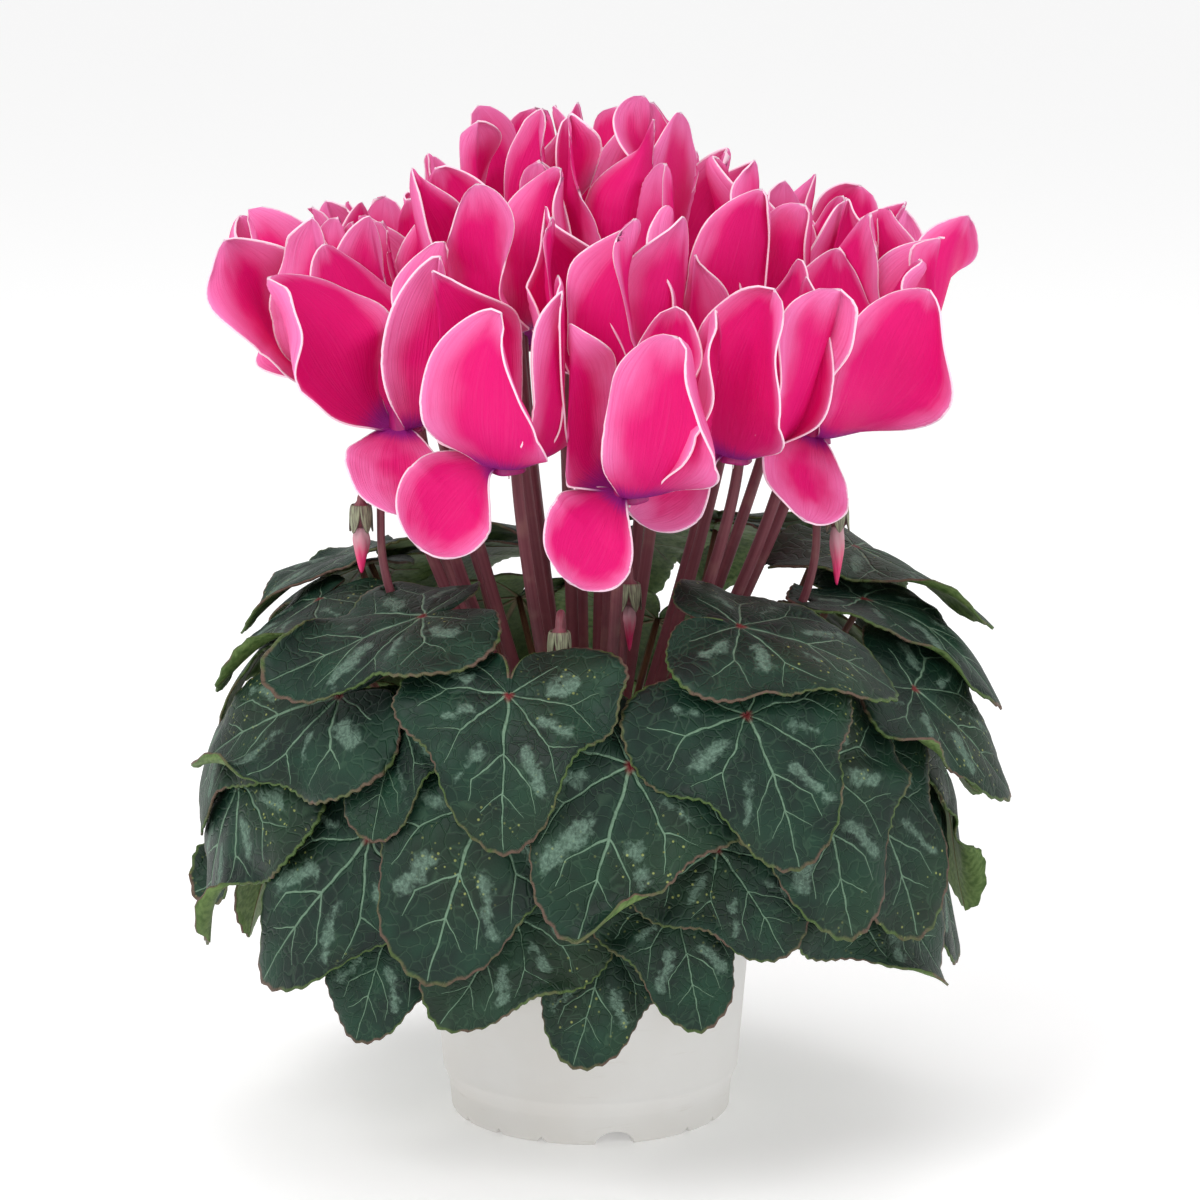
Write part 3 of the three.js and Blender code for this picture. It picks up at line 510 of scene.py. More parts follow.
def stem_finish():
    """Matt maroon, browner and paler in streaks along the stem."""
    finish = Finish("stem_maroon", Roughness=0.5, Specular_IOR_Level=0.35)
    u, v = finish.uv("UVMap")
    streaks = finish.streaks(u * 9, v * 3, 0.3, 3.0)
    blotch = finish.grain(finish.place(), 90.0, 2.0)
    fleck = finish.grain(finish.place(), 900.0, 2.0)
    finish.set(Base_Color=finish.layers(
        colour(98, 42, 54),
        ((streaks * 1.5 - 0.25).held(), 146, 88, 96),
        (blotch.step(0.5, 0.75) * 0.5, 146, 104, 98),
        (v.step(0.3, 0.0) * 0.45, 150, 90, 92)))
    finish.bump(fleck, 0.12)
    return finish.material


def nearest(finish, flat, segments):
    """How far the closest of some lines is, in half widths of that line."""
    field = None
    for (ax, ay), (bx, by), start, end in segments:
        length = hypot(bx - ax, by - ay)
        way = ((bx - ax) / length, (by - ay) / length, 0)
        from_start = finish.turned("SUBTRACT", flat, (ax, ay, 0))
        reach = finish.turned("DOT_PRODUCT", from_start, way).most(0).least(length)
        foot = finish.turned("SCALE", way, reach)
        off = finish.turned("DISTANCE", from_start, foot)
        near = off / (start + reach * ((end - start) / length))
        field = near if field is None else field.least(near)
    return field


def flat_leaf(finish):
    """The place on a leaf laid flat, with its tip at (1, 0)."""
    x, y = finish.uv("UVMap")
    return x * 2 - FLAT_LEAF_BACK, y * 2 - 1


def leaf_finish():
    """Dark green with silver veins and patches, toothed with a paler, reddish edge."""
    finish = Finish("leaf_green", Roughness=0.46, Specular_IOR_Level=0.27)
    share, own = finish.uv("Edge")
    x, y = flat_leaf(finish)
    wander = finish.streaks(x * 5, y * 5, own * 31) - 0.5
    drift = finish.streaks(x * 5 + 7, y * 5, own * 17) - 0.5
    folded = finish.vector(
        x + y * (own - 0.5) * 0.3 + wander * 0.09, (y + drift * 0.05).away(), 0.0)
    veins = nearest(finish, folded, VEINS)
    fine = finish.streaks(x * 60, y * 60, own * 11, 4.0, 0.65)
    ragged = finish.streaks(x * 13, y * 13, own * 23, 5.0, 0.62)
    broad = finish.streaks(x * 3.5, y * 3.5, own * 13, 3.0)
    crowd = finish.grain(finish.place(), 24.0, 2.0)
    net = finish.cells(finish.vector(x * 15 + wander * 3, y * 15 + drift * 3, own * 5), 1.0,
                       "DISTANCE_TO_EDGE")
    silver = None
    for k, patch in enumerate(PATCHES):
        chance = finish.streaks(own * 41 + k * 7.3, y.step(-0.02, 0.02) * 5, 0.5)
        near = nearest(finish, folded, [patch + patch[-1:]])
        field = (near + (ragged - 0.5) * 4.2 + (chance - 0.42) * 3.2).step(1.25, 0.35)
        silver = field if silver is None else silver.most(field)
    speckle = 0.45 + (fine + ragged * 0.4).step(0.55, 0.85) * 0.55
    scatter = (fine + broad * 0.5).step(0.98, 1.1) * share.step(0.35, 0.6)
    body = finish.layers(
        colour(9, 30, 24),
        (broad.step(0.3, 0.72), 22, 57, 41),
        (crowd.step(0.45, 0.7) * 0.35, 36, 52, 30),
        ((own * 1.4 - 0.9).held() * 0.5, 48, 66, 34),
        (net.step(0.07, 0.0) * 0.2, 74, 106, 80),
        (silver * speckle * 0.62, 126, 156, 138),
        (scatter * 0.35, 92, 124, 106),
        (veins.step(3.6, 1.0) * 0.18, 56, 90, 70),
        (veins.step(1.1, 0.5) * (0.3 + ragged * 0.9 - share * 0.2).held(), 122, 154, 128),
        (share.step(0.075, 0.02), 110, 38, 40))  # where the stalk joins
    rim = finish.mix(broad.step(0.42, 0.6), colour(96, 122, 62), colour(128, 96, 84))
    teeth = (share + (fine - 0.5) * 0.024).step(0.974, 0.992)
    pollen = finish.cells(finish.place(), 330.0).step(0.2, 0.1) * crowd.step(0.52, 0.66)
    body = finish.layers(finish.mix(teeth * 0.6, body, rim), (pollen * 0.6, 170, 178, 100))
    finish.set(Base_Color=body, Roughness=0.4 + broad * 0.2 + silver * 0.12)
    finish.bump(
        fine * 0.4 + net.step(0.12, 0.0) * -0.5 + veins.step(1.8, 0.3) * -1.1 + broad * 0.8, 0.45)
    return finish.material


def underside_finish():
    finish = Finish("leaf_underside", Roughness=0.6, Specular_IOR_Level=0.25)
    share, own = finish.uv("Edge")
    x, y = flat_leaf(finish)
    veins = nearest(finish, finish.vector(x, y.away(), 0.0), MAIN_VEINS)
    fine = finish.streaks(x * 30, y * 30, own * 11, 3.0)
    # Pale green, darkened as painted shade where undersides show between the stems, and darker
    # still towards the stalk.
    finish.set(Base_Color=finish.layers(
        colour(72, 98, 48),
        (fine.step(0.3, 0.7), 104, 128, 72),
        (share.step(0.9, 0.4) * 0.6, 48, 62, 36),
        (veins.step(1.8, 0.8) * 0.5, 126, 96, 78)))
    finish.bump(fine + veins.step(2.2, 0.3) * 2, 0.4)
    return finish.material


def pot_finish():
    """Satin moulded plastic, faintly clouded, with scuffs low down."""
    finish = Finish("pot_white", Roughness=0.42, Specular_IOR_Level=0.4)
    place = finish.place()
    cloud = finish.grain(place, 16.0, 3.0)
    fine = finish.grain(place, 700.0, 3.0)
    scuff = finish.grain(finish.turned("MULTIPLY", place, (60.0, 60.0, 420.0)), 1.0, 4.0, 0.6)
    low = finish.parts(place)[2].step(0.02, 0.0)
    body = finish.layers(
        colour(231, 228, 224),
        (cloud.step(0.3, 0.7), 238, 237, 235),
        (scuff.step(0.6, 0.78) * (0.12 + low * 0.3), 196, 188, 176),
        (low * 0.18, 206, 200, 190))
    finish.set(Base_Color=body, Roughness=0.36 + cloud * 0.14 + scuff * 0.06)
    finish.bump(fine * 0.4 + scuff * 0.3, 0.08)
    return finish.material


def soil_finish():
    finish = Finish("soil_peat", Roughness=0.95, Specular_IOR_Level=0.2)
    place = finish.place()
    crumbs = finish.cells(place, 260.0)
    fine = finish.grain(place, 900.0, 4.0, 0.7)
    broad = finish.grain(place, 70.0, 3.0)
    finish.set(Base_Color=finish.layers(
        colour(58, 40, 28),
        (crumbs.step(0.1, 0.8), 22, 15, 11),
        (fine.step(0.62, 0.76), 104, 78, 52),
        (broad.step(0.55, 0.75) * 0.4, 70, 52, 38)))
    finish.bump(crumbs * -1.2 + fine * 0.8, 1.0)
    return finish.material


def tuber_finish():
    finish = Finish("tuber_cork", Roughness=0.8)
    place = finish.place()
    cork = finish.cells(place, 190.0)
    fine = finish.grain(place, 500.0, 4.0, 0.65)
    finish.set(Base_Color=finish.layers(
        colour(72, 46, 32),
        (cork.step(0.1, 0.7), 118, 86, 62),
        (fine.step(0.55, 0.75) * 0.6, 150, 118, 90)))
    finish.bump(cork * 0.7 + fine * 0.6, 0.8)
    return finish.material


# ---- pot, soil and tuber

def wall_radius(z):
    climb = (z - SHOULDER_HEIGHT) / (POT_HEIGHT - SHOULDER_HEIGHT)
    return SHOULDER_RADIUS + (TOP_RADIUS - SHOULDER_RADIUS) * max(climb, 0)


def rounded(profile, step):
    """A profile with stations about a step apart at most."""
    stations = [Vector(profile[0])]
    for start, end in zip(profile, profile[1:]):
        start, end = Vector(start), Vector(end)
        count = max(round((end - start).length / step), 1)
        stations += [start.lerp(end, (k + 1) / count) for k in range(count)]
    return stations


def turned(bm, profile, around, move=None):
    """A body of revolution, which is closed if its profile starts and ends on the axis."""
    last = len(profile) - 1

    def place(u, v):
        radius, z = profile[round(v * last)]
        angle = 2 * pi * u
        at = Vector((radius * cos(angle), radius * sin(angle), z))
        return move(at) if move else at

    verts = laid(bm, around, last, place)
    bmesh.ops.remove_doubles(bm, verts=verts, dist=WELD)


def foot_cut(at):
    """How high the foot's cut edge is at a point, above the surface that the pot stands on."""
    bearing = degrees(atan2(at.x, -at.y))
    height = 0
    cuts = [(ARCH["at"], ARCH)] + [(notch, NOTCHES) for notch in NOTCHES["at"]]
    for k in range(FOOT_PATTERNS):
        for centre, cut in cuts:
            off = (bearing - centre - k * 360 / FOOT_PATTERNS + 180) % 360 - 180
            share = abs(radians(off)) * FOOT_RADIUS / (cut["width"] / 2)
            if share < 1:
                rise = sqrt(1 - share ** 2) if cut is ARCH else 1 - share
                height = max(height, cut["height"] * rise)
    return height


def floored(bm, z, way):
    """Closes the pot's base at a height, but for its drain holes, and gives their edges."""
    edges = [edge for edge in bm.edges if edge.is_boundary
             and all(abs(vert.co.z - z * MM) < 1e-6 for vert in edge.verts)]
    holes = []
    for k in range(DRAIN["holes"]):
        bearing = k * 360 / DRAIN["holes"] + DRAIN["from"]
        at = Matrix.Translation(polar(bearing, DRAIN["circle"], z) * MM)
        circle = bmesh.ops.create_circle(
            bm, segments=HOLE_SIDES, radius=DRAIN["radius"] * MM, matrix=at)["verts"]
        holes.append({edge for vert in circle for edge in vert.link_edges})
    edges += [edge for hole in holes for edge in hole]
    bmesh.ops.triangle_fill(bm, use_beauty=True, edges=edges, normal=(0, 0, way))
    return holes


def make_pot():
    inner_base = POT_BASE + POT_WALL
    rim_foot = POT_HEIGHT - RIM_DROP
    foot, ring_inside = FOOT_RADIUS, FOOT_RADIUS - RING_WIDTH
    ring = [
        (ring_inside - 1.5, POT_BASE), (ring_inside, 0.3), (ring_inside + 0.3, 0),
        (foot - 1.2, 0), (foot - 0.5, 0.4), (foot - 0.2, 1.2),
        (foot + 0.6, FOOT_HEIGHT), (foot + 1.0, FOOT_HEIGHT + 0.9),
        (SHOULDER_RADIUS - 0.5, SHOULDER_HEIGHT - 1.0), (SHOULDER_RADIUS, SHOULDER_HEIGHT),
        (wall_radius(SHOULDER_HEIGHT + 2), SHOULDER_HEIGHT + 2),
    ]
    wall = [(wall_radius(z), z) for z in range(SHOULDER_HEIGHT + 8, rim_foot, 8)]
    rim = [
        (wall_radius(rim_foot) + 0.1, rim_foot), (RIM_RADIUS - 0.3, rim_foot + 0.6),
        (RIM_RADIUS, rim_foot + 1.2), (RIM_RADIUS + 0.2, POT_HEIGHT - 1.2),
        (RIM_RADIUS, POT_HEIGHT - 0.4), (RIM_RADIUS - 0.6, POT_HEIGHT),
        (TOP_RADIUS - POT_WALL + 0.4, POT_HEIGHT), (TOP_RADIUS - POT_WALL, POT_HEIGHT - 0.4),
    ]
    inside = [
        (SHOULDER_RADIUS - POT_WALL, SHOULDER_HEIGHT), (foot - POT_WALL - 0.8, inner_base),
    ]
    profile = rounded(ring, 0.8) + wall + rim + rounded(inside, 12)

    def cut(at):
        lift = foot_cut(at) if hypot(at.x, at.y) > ring_inside - 1 else 0
        return Vector((at.x, at.y, max(at.z, min(lift, POT_BASE + 0.01))))

    bm = bmesh.new()
    turned(bm, profile, POT_SIDES, cut)
    bmesh.ops.dissolve_degenerate(bm, edges=bm.edges, dist=2e-5)
    for low, high in zip(floored(bm, POT_BASE, -1), floored(bm, inner_base, 1)):
        bmesh.ops.bridge_loops(bm, edges=list(low | high))
    bmesh.ops.recalc_face_normals(bm, faces=bm.faces)
    piece("pot", bm, [pot_finish()])


def make_soil():
    edge = wall_radius(SOIL_TOP) - POT_WALL - GAP
    floor_z = POT_BASE + POT_WALL + GAP
    top = [(edge - 6, SOIL_TOP), (TUBER["radius"] + 6, SOIL_TOP + SOIL_MOUND),
           (0, SOIL_TOP + SOIL_MOUND)]
    profile = [
        (0, floor_z), (FOOT_RADIUS - POT_WALL - 1.2, floor_z),
        (SHOULDER_RADIUS - POT_WALL - 0.4, SHOULDER_HEIGHT), (edge, SOIL_TOP - 1),
    ] + rounded(top, 2.0)

    def crumble(at):
        radius = hypot(at.x, at.y)
        if at.z < SOIL_TOP - 0.5 or radius > edge - 3:
            return at
        lump = noise.noise(at / 9) * 1.2 + noise.noise(at / 3.1) * 0.8
        sink = 0
        if radius < TUBER["radius"] + 1:
            share = min(radius / (TUBER["radius"] + 1), 1)
            sink = TUBER["half_height"] * sqrt(1 - share ** 2) + 6 * (1 - share)
        return at + Vector((0, 0, lump - sink))

    bm = bmesh.new()
    turned(bm, profile, SOIL_SIDES, crumble)
    piece("soil", bm, [soil_finish()])


def make_tuber():
    bm = bmesh.new()
    verts = bmesh.ops.create_icosphere(bm, subdivisions=5, radius=1)["verts"]
    for vert in verts:
        x, y, z = vert.co
        lumps = 1 + 0.04 * sin(3 * atan2(y, x) + 1) * (1 - z * z)
        lumps += 0.035 * noise.noise(vert.co * 4) + 0.012 * noise.noise(vert.co * 17)
        radius = TUBER["radius"] * lumps * MM
        high = TUBER["half_height"] * (1 + 0.01 * noise.noise(vert.co * 9)) * MM
        vert.co = (x * radius, y * radius, TUBER["z"] * MM + z * high)
    for face in bm.faces:
        face.smooth = True
    piece("tuber", bm, [tuber_finish()])


def crown(radius):
    """The height of the tuber's top at a radius."""
    return TUBER["z"] + TUBER["half_height"] * sqrt(max(1 - (radius / TUBER["radius"]) ** 2, 0))


# ---- blooms

between = Draws(SOURCE_SEED).between
looks = Draws(LOOKS_SEED)  # for what only shows here: the source's own draws keep their order
APEX = Vector((0, 0, FAN_Z))


def bloom_places():
    rows = list(SHOWN_BLOOMS)
    for count, low, high, radius, mouth, stagger in BLOOM_RINGS:
        for k, bearing in enumerate(spread(count, low, high)):
            inward = stagger if k % 2 else -stagger
            rows.append((
                bearing + between(-3, 3), radius - inward + between(-2, 2),
                mouth + 0.8 * inward + between(-3, 3), between(-25, 25), (), FULLNESS))
    found = [dict(zip(BLOOM_KEYS, row)) for row in rows]
    for bloom in found:
        bloom["at"] = polar(bloom["bearing"], bloom["radius"], bloom["mouth"])
        bloom["axis"] = (bloom["at"] - APEX).normalized()
        out = polar(bloom["bearing"], 1, 0)
        bloom["out"] = (out - bloom["axis"] * out.dot(bloom["axis"])).normalized()
        bloom["side"] = bloom["axis"].cross(bloom["out"])
        bloom["petals"] = [petal_form(bloom, k) for k in range(PETALS)]
    for bloom in found:
        bloom["walls"] = [
            (other["axis"] - bloom["axis"]).normalized() for other in found if other is not bloom]
    return found


def petal_form(bloom, k):
    """One petal's own size, lift, twist and waves."""
    hangs = k in bloom["hanging"]
    form = {"bearing": k * 360 / PETALS + bloom["turn"], "hangs": hangs}
    form["shift"] = {2: -17, 3: 17}.get(k, 0)  # leaves room for the stem
    form["length"] = HANGING["length"] if hangs else PETAL["length"] * between(0.93, 1.06)
    fullness = HANGING["fullness"] if hangs else bloom["fullness"]
    form["half_width"] = fullness * PETAL["half_width"] * between(0.95, 1.12)
    form["flare"] = HANGING["flare"] if hangs else PETAL["flare"] * between(0.9, 1.1)
    form["lift"] = between(-52, -36) if hangs else between(70, 80)
    form["sweep"] = between(6, 24)
    away = abs(sin(radians(bloom["bearing"] + form["bearing"])))
    form["twist"] = between(50, 70) * away if hangs else between(24, 50)
    between(0.05, 0.22)  # the source's cup, for which curl stands here
    form["wave"] = between(0.8, 2.4)
    form["phase"] = between(0, 6.28)
    form["pointed"] = looks.between(0, 1) > 0.55
    form["fold"] = looks.between(1.4, 4) * (1 if looks.between(0, 1) > 0.4 else -1)
    form["bow"] = looks.between(-3, 7)
    form["lean"] = looks.between(-3, 4) - 7 * max(cos(radians(form["bearing"])), 0)
    form["curl"] = looks.between(0.45, 1.25) * (1 if looks.between(0, 1) > 0.35 else -0.8)
    form["turn_over"] = looks.between(15, 80) * (1 if looks.between(0, 1) > 0.2 else -0.9)
    form["sway"] = looks.between(-4, 4)
    form["pale"] = looks.between(0, 1) > 0.6
    if hangs:
        form.update(HANGING_FOLDS)
    return form


def petal_half_width(form, t):
    widest, root = PETAL["widest"], PETAL["root_half_width"]
    if t < widest:
        return root + (form["half_width"] - root) * sin(pi / 2 * t / widest)
    q = (t - widest) / (1 - widest)
    tip = max(1 - q ** 1.9, 0) ** 0.74 if form["pointed"] else max(1 - q ** 2.2, 0) ** 0.55
    return form["half_width"] * tip + 0.3


def petal_point(bloom, form, t, w):
    """A point of a petal's middle surface: t runs from root to tip, w from -1 to 1 across it."""
    lift = radians(form["lift"] - form["lean"])
    settle = 1 - exp(-t / PETAL["turn"])
    run = form["length"] * (t - PETAL["turn"] * settle)
    fade = exp(-t / PETAL["flare_length"])
    rho = PETAL["root"] + form["flare"] * (1 - fade) + run * cos(lift)
    zeta = 1.2 + run * sin(lift)
    outward = (form["flare"] / PETAL["flare_length"]) * fade
    outward += form["length"] * settle * cos(lift)
    slope = atan2(form["length"] * settle * sin(lift), outward)
    turn = radians(form["bearing"] + form["shift"] * min(t / 0.2, 1) + form["sweep"] * t)
    out = bloom["out"] * cos(turn) + bloom["side"] * sin(turn)
    around = bloom["axis"].cross(out)
    face = out * sin(slope) - bloom["axis"] * cos(slope)
    twist = radians(form["twist"] * min(1, 2.2 * t) + form["turn_over"] * eased(t, 0.4, 1))
    half = petal_half_width(form, t)
    lateral = around * cos(twist) + face * sin(twist)
    normal = face * cos(twist) - around * sin(twist)
    curl = form["curl"] * eased(t, 0.1, 0.5) * (1 - 0.4 * eased(t, 0.65, 1))
    curl -= 0.5 * (1 - eased(t, 0, 0.3))  # the root clasps the mouth
    curl = curl if abs(curl) > 0.02 else 0.02
    across = half * sin(w * curl) / curl
    bend = half * (1 - cos(w * curl)) / curl
    bend += 1.4 * form["wave"] * w * w * t * sin(9 * t + form["phase"] + 1.5 * w)
    bend += 0.8 * form["wave"] * w ** 4 * t * sin(19 * t + 4 * form["phase"] + 5 * w)
    bend += form["fold"] * sin(pi * w) * min(2 * t, 1)
    bend *= min(half / (0.45 * form["half_width"]), 1)  # narrow ends stay straight
    bend += form["bow"] * max(t - 0.4, 0) ** 2 / 0.36
    p = bloom["at"] + out * rho + bloom["axis"] * zeta + lateral * across + normal * bend
    p += around * (form["sway"] * sin(pi * t))
    return p if form["hangs"] else held_in_cell(bloom, p)


def held_in_cell(bloom, p):
    """Moves a point towards its bloom's axis, so that it stays on this side of every neighbour."""
    axis = bloom["axis"]
    centre = APEX + axis * (p - APEX).dot(axis)
    way = p - centre
    reach = way.length
    if reach < 1e-6:
        return p
    way /= reach
    from_apex = centre - APEX
    limit = 1e9
    for wall in bloom["walls"]:
        towards = way.dot(wall)
        if towards > 1e-3:
            limit = min(limit, (-from_apex.dot(wall) - CELL_MARGIN) / towards)
    share = reach / limit
    if share <= CELL_EASE:
        return p
    rest = 1 - CELL_EASE
    held = CELL_EASE + rest * (1 - exp(-(share - CELL_EASE) / rest))
    return centre + way * (limit * held)


def make_bloom(bloom, name, finishes):
    bm = bmesh.new()
    for k, form in enumerate(bloom["petals"]):
        own = (bloom["bearing"] * 0.37 + k * 0.61) % 1

        def mark(u, v, form=form, own=own):
            from_side = (1 - abs(2 * u - 1)) * petal_half_width(form, v)
            from_tip = (1 - v) * form["length"]
            return (u, v), (min(from_side, from_tip) / EDGE_REACH, own)

        def place(u, v, form=form):
            return petal_point(bloom, form, v, 2 * u - 1)

        face, back = (3, 0) if form["pale"] else (0, 3)
        verts = laid(bm, *PETAL_GRID, place, mark, finish=face)
        thicken(bm, verts, PETAL["thickness"] * 0.8, underside=back)

    def ribbed(u, v):
        return 1 + 0.04 * (1 - v) * cos(2 * CUP["ribs"] * pi * u)

    at, axis = bloom["at"], bloom["axis"]
    cup = [(at + axis * (CUP["lip"] + (CUP["height"] - CUP["lip"]) * v),
            CUP["mouth"] + (CUP["top"] - CUP["mouth"]) * v ** 0.8)
           for v in spread(CUP_STATIONS, 0, 1)]
    make_tube(bm, cup, CUP_SIDES, bloom["out"], finish=1, shape=ribbed)
    end = at - axis * STYLE["length"]
    style = tapered(
        STYLE_STATIONS, at, (at + end) / 2, end, STYLE["base"], STYLE["tip"])
    make_tube(bm, style, STYLE_SIDES, bloom["out"], finish=2)
    piece(name, bm, finishes)


# ---- stems and buds

def stem_foot(bearing, radius):
    middle = sector_bearing(sector_of(bearing, STEM_SECTORS), STEM_SECTORS)
    off = (bearing - middle + 180) % 360 - 180
    reach = STEM["foot"] * (0.25 + radius / STEM["far"])
    return polar(middle + STEM["spread"] * off, reach, crown(0) + STEM["lift"])


def bloom_stem(bloom):
    """A bloom's stem: its middle line, with the radius at each station."""
    turn = radians(180 + bloom["turn"])
    gap_side = bloom["out"] * cos(turn) + bloom["side"] * sin(turn)

    def local(rho, zeta):
        return bloom["at"] + gap_side * rho + bloom["axis"] * zeta

    start = stem_foot(bloom["bearing"], bloom["radius"])
    end = local(HOOK["reach"], -HOOK["dip"])
    control = end - bloom["axis"] * (STEM["bow"] * (end - start).length)
    stations = tapered(STEM_STATIONS, start, control, end, STEM["base"], STEM["tip"])
    half = HOOK["reach"] / 2
    for angle in range(0, 181, HOOK["step"]):
        a = radians(angle)
        at = local(half + half * cos(a), HOOK["height"] + half * sin(a))
        stations.append((at, STEM["tip"] + 0.3 * angle / 180))
    for share in (0.15, 0.4, 0.7, 1):
        drop = (HOOK["height"] - CALYX["top"]) * share
        radius = STEM["tip"] + 0.3 + (CALYX["radius"] - STEM["tip"] - 0.3) * share ** 0.7
        stations.append((local(0, HOOK["height"] - drop), radius))
    return stations


def bud_stem(bud):
    """A bud's stem and calyx: their middle line, with the radius at each station."""
    hook = BUD["hook"]
    out = polar(bud["bearing"], 1, 0)
    peak = polar(bud["bearing"], bud["radius"], bud["top"])

    def local(across, up):
        return peak + out * across + Vector((0, 0, up))

    start = stem_foot(bud["bearing"], bud["radius"] * 0.7)
    end = local(-hook, -hook - 14)
    control = end - Vector((0, 0, 0.3 * (end - start).length))
    stations = tapered(STEM_STATIONS, start, control, end, STEM["base"] - 0.4, BUD["stem"])
    for angle in range(180, -1, -HOOK["step"]):
        a = radians(angle)
        stations.append((local(hook * cos(a), hook * sin(a) - hook), BUD["stem"]))
    for down, radius in BUD_CALYX:
        at = local(hook, -hook - down / 100 * BUD["calyx_length"])
        stations.append((at, BUD["calyx_radius"] * radius))
    return stations


def make_stems(sector, finishes):
    bm = bmesh.new()
    inner, outer, thick, slit = (PLATE[key] for key in ("inner", "outer", "thickness", "slit"))
    half, middle = 180 / STEM_SECTORS, sector_bearing(sector, STEM_SECTORS)

    def plate(u, v):
        radius = inner + (outer - inner) * v
        bearing = middle + (2 * u - 1) * (half - degrees(slit / radius))
        lump = 0.35 * noise.noise(Vector((bearing / 9, radius / 3, 0)))
        return polar(bearing, radius, crown(inner) + GAP + thick / 2 + lump)

    thicken(bm, laid(bm, *PLATE_GRID, plate), thick)
    for bloom in blooms:
        if sector_of(bloom["bearing"], STEM_SECTORS) == sector:
            make_tube(bm, bloom_stem(bloom), STEM_SIDES, bloom["side"])
    for bud in BUDS:
        if sector_of(bud["bearing"], STEM_SECTORS) == sector:
            out = polar(bud["bearing"], 1, 0)
            make_tube(bm, bud_stem(bud), STEM_SIDES, Vector((0, 0, 1)).cross(out))
            make_sepals(bm, bud, 1)
    piece(f"flower_stems_{sector + 1:02d}", bm, finishes)


def make_sepals(bm, bud, finish):
    """Five pointed sepals that clasp the top of a bud."""
    centre = polar(bud["bearing"], bud["radius"] + BUD["hook"], bud["top"] - BUD["hook"])
    for k in range(PETALS):
        def place(u, v, k=k):
            reach = SEPAL["from"] + v * SEPAL["reach"]
            width = SEPAL["half_width"] * max(1 - v ** 2.6, 0) ** 0.8
            angle = radians(360 / PETALS * k + bud["bearing"] + (2 * u - 1) * width)
            radius = BUD["calyx_radius"] * along(SEPAL_PROFILE, reach * 100) + 0.3 + 0.5 * v ** 4
            down = reach * BUD["calyx_length"]
            return centre + Vector((radius * cos(angle), radius * sin(angle), -down))

        thicken(bm, laid(bm, *SEPAL_GRID, place, finish=finish), SEPAL["thickness"])


def make_bud(bud, name, finishes):
    """Furled petals, twisted to a point."""
    bm = bmesh.new()
    top = polar(bud["bearing"], bud["radius"] + BUD["hook"], bud["top"])
    top.z -= BUD["hook"] + BUD["calyx_length"] + GAP
    stations = []
    for share in spread(BUD_STATIONS, 0, 1):
        radius = bud["girth"] * max(along(FURLED_PROFILE, share * 100), 0.08)
        stations.append((top - Vector((0, 0, share * bud["length"])), radius))

    def furled(u, v):
        return 0.94 + 0.13 * abs(sin(PETALS * pi * u + 4.5 * v))

    make_tube(bm, stations, BUD_SIDES, polar(bud["bearing"], 1, 0), shape=furled)
    piece(name, bm, finishes)


# ---- leaves

def mound(down, bearing):
    """The direction from the mound's centre at an angle down from its top and a bearing."""
    a, b = radians(down), radians(bearing)
    return Vector((sin(a) * sin(b), -sin(a) * cos(b), cos(a)))


def leaf_places():
    rows = list(SHOWN_LEAVES)
    for count, low, high, down, length in LEAF_RINGS:
        for bearing in spread(count, low, high):
            rows.append((down + between(-3, 3), bearing + between(-3, 3), between(-28, 28),
                         length + between(-5, 5)))
    found = [dict(zip(LEAF_KEYS, row)) for row in rows]
    for index, leaf in enumerate(found):
        leaf["index"] = index
        b = radians(leaf["bearing"])
        leaf["out"] = mound(leaf["down"], leaf["bearing"])
        leaf["across"] = Vector((cos(b), sin(b), 0))
        leaf["fall"] = leaf["across"].cross(leaf["out"])
        leaf["phase"] = between(0, 6.28)
        leaf["width"] = between(0.95, 1.1)
        leaf["own"] = (leaf["phase"] * 1.7) % 1
    stack(found)
    look_over(found)
    return found


def outline_at(angle):
    """The source's own outline, joined by straight lines, which says what lies on what."""
    for (x0, y0), (x1, y1) in zip(LEAF_OUTLINE, LEAF_OUTLINE[1:]):
        if angle <= x1:
            return y0 + (y1 - y0) * (angle - x0) / (x1 - x0)
    return LEAF_OUTLINE[-1][1]


def leaf_reach(leaf, angle, outline):
    across = 1 + (leaf["width"] - 1) * abs(sin(radians(angle)))
    return leaf["length"] * across * outline(abs(angle))


def leaf_direction(leaf, angle, reach):
    heading = radians(leaf["heading"] + angle)
    way = leaf["fall"] * cos(heading) + leaf["across"] * sin(heading)
    bend = reach / MOUND["size"]
    return leaf["out"] * cos(bend) + way * sin(bend)


def stack(found):
    """Lays each leaf on the lower ones that it overlaps, from the bottom of the mound up."""
    order = sorted(found, key=lambda leaf: -leaf["down"])
    for i, leaf in enumerate(order):
        leaf["layer"] = 0
        for lower in order[:i]:
            if edge_inside(leaf, lower) or edge_inside(lower, leaf):
                slip = MOUND["rise"] * MOUND["size"] * radians(leaf["down"] - lower["down"])
                leaf["layer"] = max(leaf["layer"], lower["layer"] + slip + LEAF["layer"])


def edge_inside(a, b):
    """Whether leaf a's edge, or a line halfway out to it, falls anywhere within leaf b."""
    return any(
        covers(b, leaf_direction(a, angle, leaf_reach(a, angle, outline_at) * share), 2)
        for angle in range(-170, 171, 10) for share in (0.5, 1))


def covers(leaf, d, spare):
    """Whether a leaf, made larger by some to spare, takes in a way from the mound's centre."""
    reach = acos(min(d.dot(leaf["out"]), 1)) * MOUND["size"]
    heading = atan2(d.dot(leaf["across"]), d.dot(leaf["fall"])) - radians(leaf["heading"])
    turned_to = degrees(atan2(sin(heading), cos(heading)))
    return reach < leaf_reach(leaf, turned_to, outline_at) + spare


